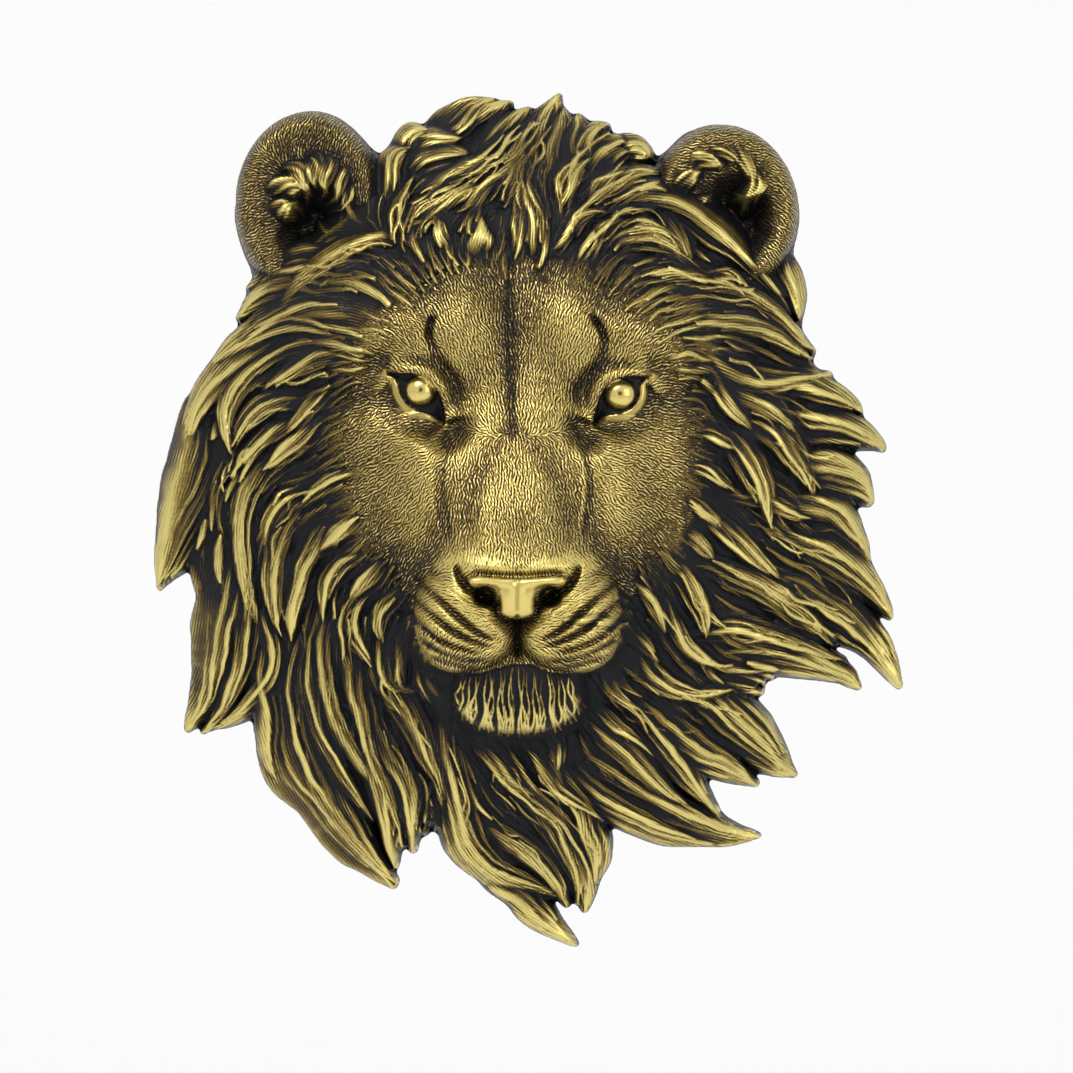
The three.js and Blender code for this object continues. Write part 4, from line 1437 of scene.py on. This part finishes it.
    def lay(self, relief: Relief) -> None:
        """Lay the whole mane.

        Args:
            relief: the bare head with its ears.
        """
        self.comb(relief)
        LOG.info("mane: %d loose strands", self.fill(relief))
        outline = rounded(self.outline, closed=True)
        golds = [gold for gold, group in self.golds for _ in group]
        for i, (row, gold) in enumerate(zip(self.rows, golds)):
            length = math.dist(row[:2], row[2:4]) + math.dist(row[2:4], row[4:6])
            off = self.off_face(*row[:2])
            on_crown = row in CROWN_LOCKS
            back = self.back_share[0 if on_crown else 1] * length if off > 1.05 else 0.0
            dx, dz = (2 * row[k + 2] - (row[k] + row[k + 4]) / 2 - row[k] for k in (0, 1))
            far = back / math.hypot(dx, dz)
            behind = inside_distance(np.array([row[0] - dx * far]), np.array([row[1] - dz * far]), outline)
            back = back if behind[0] > row[6] / 2 + 2 else 0.0
            while back > 0.5 and self.in_face(row[0] - dx * far, row[1] - dz * far):
                back, far = back * 0.7, far * 0.7
            deeper = 0.6 if off < 1 and row[6] > 5 else (-0.25 if on_crown and back > 0 else 0.0)
            self.hair.lock(relief, row, i, back, gold, deeper)
        LOG.info("mane: %d wisps", self.wisps(relief))
        LOG.info("mane: %d locks, %d strands at the face's edge", len(self.rows), self.ruff(relief))


@dataclass
class Rubbing:
    """Where the gold is rubbed on: crests catch it and hollows stay black."""

    fine: float = 0.9
    middle: float = 2.4
    wide: float = 7.0

    def worn(self, relief: Relief) -> Array:
        """Share of gold over the grid, before the streaks of the brush.

        Args:
            relief: the finished carving.

        Returns:
            A map from 0, black, to 1, bright gold.
        """
        depth = np.maximum(relief.depth, 0)
        fine = depth - blur(depth, self.fine / relief.step)
        middle = depth - blur(depth, self.middle / relief.step)
        wide = depth - blur(depth, self.wide / relief.step)
        gz, gx = np.gradient(depth, relief.step)
        slope = np.minimum(np.hypot(gx, gz), 5)
        fur = 0.41 + 0.35 * np.clip(middle, -0.55, 0.3) + 0.04 * np.clip(wide, -1.5, 2) - 0.02 * slope
        hair = 0.07 + 0.6 * relief.tone + 0.5 * np.clip(fine, -0.6, 0.6) + 0.22 * np.clip(middle, -1.5, 1.2)
        hair = hair + 0.05 * np.clip(wide, -4, 2) - 0.05 * slope
        worn = np.where((relief.kind == Surface.LOCK), hair, fur * (0.35 + 0.65 * relief.tone))
        worn = np.where(relief.kind == Surface.EYE, relief.tone, worn)
        worn = np.where(relief.kind == Surface.NOSE, np.clip(0.86 + 0.6 * fine - 0.14 * slope, 0, 1), worn)
        return np.clip(worn, -0.4, 1)


@dataclass
class Casting:
    """The cast head as one closed mesh."""

    relief: Relief
    worn: Array
    most_triangles: int = 196000
    name: str = "lion_head_cast"
    spare: float = 0.05
    edge_round: float = 0.8
    edge_level: float = 0.43
    edge_slope: float = 14.0
    web: float = 1.4

    def cleaned(self) -> Array:
        """The relief's depth with one outline: no loose islands, no pinholes and no corners that only touch.

        Returns:
            Depth over the grid, below 0 outside the outline.
        """
        relief = self.relief
        depth = relief.depth - relief.rim_slope * np.maximum(relief.rim - 0.2, 0)
        depth = np.clip(depth, -4.0, None)
        inside = depth > 0
        for _ in range(4):
            a, b, c, d = inside[:-1, :-1], inside[:-1, 1:], inside[1:, :-1], inside[1:, 1:]
            cross = (a & d & ~b & ~c) | (b & c & ~a & ~d)
            inside[:-1, :-1] |= cross
            inside[:-1, 1:] |= cross
        middle = inside.shape[0] // 2, inside.shape[1] // 2
        body = self.reached(inside, middle)
        outside = self.reached(~body, (0, 0))
        shown = blur((~outside).astype(float), self.edge_round / relief.step)
        wall = self.edge_slope * (shown - self.edge_level) / (1.02 - shown)
        depth = np.where(outside, np.minimum(depth, -0.5), np.maximum(depth, 0.5))
        return np.maximum(np.minimum(depth, wall), np.minimum(wall, self.web))

    @staticmethod
    def reached(open_cells: Array, start: tuple[int, int]) -> Array:
        """Cells that can be reached from a start without leaving the open ones.

        Args:
            open_cells: where one may go.
            start: row and column of the first cell.

        Returns:
            The cells reached.
        """
        rows, columns = open_cells.shape
        flat = open_cells.ravel().tolist()
        seen = bytearray(rows * columns)
        first = start[0] * columns + start[1]
        seen[first] = 1
        queue = [first]
        while queue:
            cell = queue.pop()
            column = cell % columns
            for other in (cell - columns, cell + columns, cell - 1 if column else -1,
                          cell + 1 if column < columns - 1 else -1):
                if 0 <= other < rows * columns and not seen[other] and flat[other]:
                    seen[other] = 1
                    queue.append(other)
        return np.frombuffer(bytes(seen), np.uint8).reshape(rows, columns).astype(bool)

    def grid_mesh(self) -> bpy.types.Object:
        """The relief as a mesh that runs on a little behind the wall.

        Returns:
            The mesh object, in metres.
        """
        relief = self.relief
        depth = self.cleaned()
        rows, columns = depth.shape
        points = np.stack([relief.x, -depth, relief.z], -1).reshape(-1, 3) * MM
        index = np.arange(rows * columns).reshape(rows, columns)
        quads = np.stack([index[:-1, :-1], index[:-1, 1:], index[1:, 1:], index[1:, :-1]], -1).reshape(-1, 4)
        quads = quads[(depth.reshape(-1)[quads] > 0).any(axis=1)]
        used = np.unique(quads)
        renumber = np.zeros(rows * columns, int)
        renumber[used] = np.arange(len(used))
        mesh = bpy.data.meshes.new(self.name)
        mesh.vertices.add(len(used))
        mesh.vertices.foreach_set("co", points[used].ravel())
        mesh.loops.add(quads.size)
        mesh.loops.foreach_set("vertex_index", renumber[quads].ravel())
        mesh.polygons.add(len(quads))
        mesh.polygons.foreach_set("loop_start", np.arange(0, quads.size, 4))
        mesh.update(calc_edges=True)
        cast = bpy.data.objects.new(self.name, mesh)
        bpy.context.scene.collection.objects.link(cast)
        return cast

    def close(self, cast: bpy.types.Object) -> None:
        """Cut the mesh at the wall and fill its flat back.

        Args:
            cast: the open mesh.
        """
        bpy.context.view_layer.objects.active = cast
        cast.select_set(True)
        bpy.ops.object.mode_set(mode="EDIT")
        bpy.ops.mesh.select_all(action="SELECT")
        bpy.ops.mesh.bisect(plane_co=(0, 0, 0), plane_no=(0, 1, 0), use_fill=True, clear_outer=True)
        bpy.ops.mesh.select_all(action="SELECT")
        bpy.ops.mesh.normals_make_consistent(inside=False)
        bpy.ops.object.mode_set(mode="OBJECT")

    def fit(self, cast: bpy.types.Object) -> None:
        """Draw in whatever reaches past the solid's box, side by side.

        Args:
            cast: the closed mesh.
        """
        count = len(cast.data.vertices)
        co = np.zeros(count * 3)
        cast.data.vertices.foreach_get("co", co)
        co = co.reshape(-1, 3)
        for axis in (0, 2):
            for side, limit in ((-1, CAD_BOX[0][axis]), (1, CAD_BOX[1][axis])):
                reach = (side * co[:, axis]).max()
                share = min(1.0, (abs(limit) - self.spare * MM) / reach)
                co[:, axis] = np.where(side * co[:, axis] > 0, co[:, axis] * share, co[:, axis])
        co[:, 1] = np.clip(co[:, 1], CAD_BOX[0][1], 0.0)
        cast.data.vertices.foreach_set("co", co.ravel())
        cast.data.update()

    def thin(self, cast: bpy.types.Object) -> None:
        """Bring the mesh under its triangle limit, keeping its form.

        Args:
            cast: the closed mesh.
        """
        triangles = sum(len(p.vertices) - 2 for p in cast.data.polygons)
        thin = cast.modifiers.new("thin", "DECIMATE")
        thin.ratio = min(1.0, self.most_triangles / triangles)
        bpy.ops.object.modifier_apply(modifier=thin.name)
        LOG.info("casting: %d triangles, thinned to %d", triangles,
                 sum(len(p.vertices) - 2 for p in cast.data.polygons))

    def dress(self, cast: bpy.types.Object) -> None:
        """Write the maps that the finish reads onto the mesh's points.

        Args:
            cast: the closed mesh.
        """
        mesh = cast.data
        count = len(mesh.vertices)
        co = np.zeros(count * 3)
        mesh.vertices.foreach_get("co", co)
        x, y, z = co.reshape(-1, 3).T / MM
        back = y > -0.05
        relief = self.relief
        worn = np.where(back, 0.0, self.relief.at(self.worn, x, z))
        kind = relief.at(relief.kind, x, z, smooth=False)
        furred = np.where((kind == Surface.FUR) | (kind == Surface.EAR), 1.0, 0.0)
        polished = np.where((kind == Surface.EYE) | (kind == Surface.NOSE), 1.0, 0.0)
        grain = np.stack([relief.at(relief.gx, x, z, smooth=False),
                          relief.at(relief.gz, x, z, smooth=False), np.zeros(count)], -1)
        for name, values in (("worn", worn), ("furred", furred), ("polished", polished)):
            mesh.attributes.new(name, "FLOAT", "POINT").data.foreach_set("value", values)
        mesh.attributes.new("grain", "FLOAT_VECTOR", "POINT").data.foreach_set("vector", grain.ravel())
        mesh.polygons.foreach_set("use_smooth", np.ones(len(mesh.polygons), bool))

    def build(self) -> bpy.types.Object:
        """Make the piece.

        Returns:
            The finished mesh, in metres.
        """
        cast = self.grid_mesh()
        self.close(cast)
        self.thin(cast)
        self.dress(cast)
        self.fit(cast)
        return cast


Operand = Union["Wire", float]


@dataclass(frozen=True)
class Wire:
    """An output of a node that takes part in plain arithmetic."""

    graph: "Graph"
    socket: bpy.types.NodeSocket

    def _math(self, operation: str, a: Operand, b: Operand = 0.0) -> "Wire":
        """One Math node over two values."""
        return self.graph.add("ShaderNodeMath", {"operation": operation}, {0: a, 1: b})

    def __add__(self, other: Operand) -> "Wire":
        """Sum."""
        return self._math("ADD", self, other)

    def __radd__(self, other: Operand) -> "Wire":
        """Sum, reflected."""
        return self._math("ADD", other, self)

    def __sub__(self, other: Operand) -> "Wire":
        """Difference."""
        return self._math("SUBTRACT", self, other)

    def __rsub__(self, other: Operand) -> "Wire":
        """Difference, reflected."""
        return self._math("SUBTRACT", other, self)

    def __mul__(self, other: Operand) -> "Wire":
        """Product."""
        return self._math("MULTIPLY", self, other)

    def __rmul__(self, other: Operand) -> "Wire":
        """Product, reflected."""
        return self._math("MULTIPLY", other, self)

    def step(self, low: float, high: float) -> "Wire":
        """Ease from 0 at low to 1 at high.

        Args:
            low: where it leaves 0.
            high: where it reaches 1.

        Returns:
            The eased value.
        """
        return self.graph.add(
            "ShaderNodeMapRange", {"interpolation_type": "SMOOTHSTEP"},
            {"Value": self, "From Min": low, "From Max": high, "To Min": 0.0, "To Max": 1.0})


@dataclass
class Graph:
    """The node tree of one material."""

    material: bpy.types.Material

    def add(self, kind: str, settings: Optional[dict] = None, inputs: Optional[dict] = None,
            output: Union[int, str] = 0) -> Wire:
        """Add one node.

        Args:
            kind: the node's type.
            settings: its properties, which are set first.
            inputs: values or wires for its sockets, by name or place.
            output: which output to return.

        Returns:
            The chosen output.
        """
        node = self.material.node_tree.nodes.new(kind)
        for key, value in (settings or {}).items():
            setattr(node, key, value)
        for key, value in (inputs or {}).items():
            self.feed(next((i for i in node.inputs if i.identifier == key), None) or node.inputs[key], value)
        return Wire(self, node.outputs[output])

    def feed(self, socket: bpy.types.NodeSocket, value: Union[Wire, float, tuple]) -> None:
        """Link or set one input.

        Args:
            socket: the input.
            value: a wire, a number or a colour.
        """
        if isinstance(value, Wire):
            self.material.node_tree.links.new(value.socket, socket)
        else:
            socket.default_value = value

    def part(self, vector: Wire, axis: str) -> Wire:
        """One component of a vector."""
        return self.add("ShaderNodeSeparateXYZ", {}, {0: vector}, axis)

    def attribute(self, name: str, output: str = "Fac") -> Wire:
        """A map written on the mesh."""
        return self.add("ShaderNodeAttribute", {"attribute_name": name}, {}, output)

    def blend(self, share: Operand, low: Union[Wire, tuple], high: Union[Wire, tuple]) -> Wire:
        """Mix two colours.

        Args:
            share: how much of the second.
            low: the first colour.
            high: the second colour.

        Returns:
            The mixed colour.
        """
        node = self.material.node_tree.nodes.new("ShaderNodeMix")
        node.data_type = "RGBA"
        for place, value in ((0, share), (6, low), (7, high)):
            self.feed(node.inputs[place], value)
        return Wire(self, node.outputs[2])


@dataclass(frozen=True)
class AntiqueBrass:
    """Black patina with gold rubbed over the crests, polished on the eyes and the nose."""

    black: tuple[float, ...] = (0.0085, 0.009, 0.0105, 1.0)
    bronze: tuple[float, ...] = (0.13, 0.087, 0.022, 1.0)
    warm_bronze: tuple[float, ...] = (0.15, 0.094, 0.024, 1.0)
    gold: tuple[float, ...] = (0.59, 0.495, 0.17, 1.0)
    warm_gold: tuple[float, ...] = (0.585, 0.475, 0.155, 1.0)
    stroke_length: float = 1.5
    stroke_pitch: float = 0.82
    hair_length: float = 4.0
    hair_pitch: float = 0.8
    tangle_length: float = 1.25
    tangle_pitch: float = 0.62
    bump_strength: float = 0.55
    bump_height: float = 0.4
    bronze_from: Point = (0.10, 0.50)
    gold_from: Point = (0.38, 0.92)

    @staticmethod
    def strokes(graph: Graph, place: Wire, turn: Wire, scale: Operand, waves: Operand) -> Wire:
        """Short strokes that follow the hair.

        Args:
            graph: the material's nodes.
            place: position in mm.
            turn: angle of the hair.
            scale: one over the length of a stroke, in mm.
            waves: how many strokes lie side by side in a stroke's length.

        Returns:
            A value round 0, up on a stroke and down beside it.
        """
        value = graph.add("ShaderNodeTexGabor", {"gabor_type": "2D"}, {
            "Vector": place, "Scale": scale, "Frequency": waves, "Anisotropy": 1.0,
            "Orientation 2D": turn})
        return value - 0.5

    def make(self) -> bpy.types.Material:
        """Build the material.

        Returns:
            The material.
        """
        material = bpy.data.materials.new("antique_brass")
        material.use_nodes = True
        material.node_tree.nodes.clear()
        graph = Graph(material)
        worn = graph.attribute("worn")
        furred = graph.attribute("furred")
        polished = graph.attribute("polished")
        grain = graph.attribute("grain", "Vector")
        gx, gz = graph.part(grain, "X"), graph.part(grain, "Y")
        turn = graph.add("ShaderNodeMath", {"operation": "ARCTAN2"}, {0: gz, 1: gx}) + math.pi / 2
        spot = graph.add("ShaderNodeTexCoord", {}, {}, "Object")
        flat = graph.add("ShaderNodeCombineXYZ", {}, {"X": graph.part(spot, "X") * 1000.0,
                                                      "Y": graph.part(spot, "Z") * 1000.0})
        warp = graph.add("ShaderNodeTexNoise", {}, {"Vector": flat, "Scale": 0.45, "Detail": 1.0})
        hair_scale, hair_waves = 1 / self.hair_length, self.hair_length / self.hair_pitch
        fur_scale, fur_waves = 1 / self.stroke_length, self.stroke_length / self.stroke_pitch
        stroke = self.strokes(graph, flat, turn + (warp - 0.5) * furred * 2.2,
                              furred * (fur_scale - hair_scale) + hair_scale,
                              furred * (fur_waves - hair_waves) + hair_waves)
        patches = graph.add("ShaderNodeTexNoise", {}, {"Vector": spot, "Scale": 60.0, "Detail": 3.0})
        specks = graph.add("ShaderNodeTexNoise", {}, {"Vector": spot, "Scale": 1400.0, "Detail": 2.0})
        tangle = self.strokes(graph, flat, turn + 0.4 + (warp - 0.5) * 3.0, 1 / self.tangle_length,
                              self.tangle_length / self.tangle_pitch)
        lines = stroke * (0.75 + 1.25 * furred) + (tangle * 1.4 + (specks - 0.5) * 0.6) * furred
        dull = 1.0 - polished
        share = worn + (lines + (specks - 0.5) * 0.25) * dull + (patches - 0.5) * 0.3 * dull
        low = share.step(*self.bronze_from)
        high = share.step(*self.gold_from)
        warm = furred + polished
        bronze = graph.blend(warm, self.bronze, self.warm_bronze)
        gold = graph.blend(warm, self.gold, self.warm_gold)
        colour = graph.blend(high, graph.blend(low, self.black, bronze), gold)
        bump = graph.add("ShaderNodeBump", {}, {
            "Strength": self.bump_strength, "Distance": self.bump_height * MM, "Height": stroke * dull})
        rough = 0.47 - 0.09 * high - 0.14 * polished + 0.14 * (specks - 0.5)
        shader = graph.add("ShaderNodeBsdfPrincipled", {}, {
            "Base Color": colour, "Metallic": 0.2 + 0.75 * low, "Roughness": rough, "Normal": bump,
            "Specular IOR Level": 0.1})
        output = material.node_tree.nodes.new("ShaderNodeOutputMaterial")
        material.node_tree.links.new(shader.socket, output.inputs["Surface"])
        return material


@dataclass
class Studio:
    """Camera, plain pale room and soft light."""

    middle: Point = (2.0, -4.4)
    width: float = 287.0
    distance: float = 1.4
    plane: float = -10.0
    floor: float = -0.6

    def camera(self) -> None:
        """Look straight at the head, as in the photograph."""
        data = bpy.data.cameras.new("camera")
        data.sensor_width = 36.0
        data.lens = data.sensor_width * self.distance / (self.width * MM)
        data.clip_end = 50.0
        camera = bpy.data.objects.new("camera", data)
        camera.location = (self.middle[0] * MM, self.plane * MM - self.distance, self.middle[1] * MM)
        camera.rotation_euler = (math.pi / 2, 0, 0)
        bpy.context.scene.collection.objects.link(camera)
        bpy.context.scene.camera = camera

    def room(self) -> None:
        """A seamless pale floor and back."""
        mesh = bpy.data.meshes.new("backdrop")
        run = [(-6.0, self.floor), (3.0, self.floor)]
        run += [(3.0 + 1.5 * math.sin(a), self.floor + 1.5 - 1.5 * math.cos(a))
                for a in np.linspace(0, math.pi / 2, 16)[1:]]
        run.append((4.5, 6.0))
        points = [(x, y, z) for x in (-8.0, 8.0) for y, z in run]
        count = len(run)
        faces = [(i, i + count, i + count + 1, i + 1) for i in range(count - 1)]
        mesh.from_pydata(points, [], faces)
        mesh.polygons.foreach_set("use_smooth", np.ones(len(faces), bool))
        backdrop = bpy.data.objects.new("backdrop", mesh)
        bpy.context.scene.collection.objects.link(backdrop)
        material = bpy.data.materials.new("backdrop")
        material.use_nodes = True
        shader = material.node_tree.nodes["Principled BSDF"]
        shader.inputs["Base Color"].default_value = (0.93, 0.93, 0.93, 1.0)
        shader.inputs["Roughness"].default_value = 0.9
        mesh.materials.append(material)

    def lamp(self, name: str, place: tuple[float, float, float], size: float, power: float) -> None:
        """One soft square lamp that faces the head.

        Args:
            name: its name.
            place: where it hangs, in metres.
            size: its side, in metres.
            power: its watts.
        """
        data = bpy.data.lights.new(name, "AREA")
        data.shape = "SQUARE"
        data.size = size
        data.energy = power
        lamp = bpy.data.objects.new(name, data)
        lamp.location = place
        lamp.rotation_euler = (-Vector(place)).to_track_quat("-Z", "Y").to_euler()
        bpy.context.scene.collection.objects.link(lamp)

    def light(self) -> None:
        """Light the room and the head."""
        world = bpy.data.worlds.new("studio")
        bpy.context.scene.world = world
        world.use_nodes = True
        ground = world.node_tree.nodes["Background"]
        ground.inputs["Color"].default_value = (1.0, 1.0, 1.0, 1.0)
        ground.inputs["Strength"].default_value = 1.0
        bpy.context.scene.view_settings.view_transform = "Standard"
        self.lamp("key", (-0.45, -1.1, 1.1), 0.7, 16.0)
        self.lamp("fill", (1.1, -1.2, 0.3), 0.9, 6.0)


def main() -> None:
    """Build the head and the studio in order."""
    logging.basicConfig(level=logging.INFO, format="%(message)s")
    studio = Studio()
    studio.camera()
    relief = Relief()
    mass = Mass()
    mass.lay(relief)
    LOG.info("face: laid")
    hair = Hair()
    for seed, ear in enumerate(EARS):
        ear.lay(relief, seed)
        ear.curl(relief, hair, seed)
    mane = Mane(hair, mass.outline)
    mane.lay(relief)
    muzzle = Muzzle()
    muzzle.tuft(relief, hair)
    muzzle.cut(relief)
    for crease in CREASES:
        crease.cut(relief)
    for eye in (LEFT_EYE, RIGHT_EYE):
        eye.lay(relief)
    Nose().lay(relief)
    cast = Casting(relief, Rubbing().worn(relief)).build()
    cast.data.materials.append(AntiqueBrass().make())
    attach(cast, "root")
    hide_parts("lion_head")
    studio.room()
    studio.light()


if __name__ == "__main__":
    main()
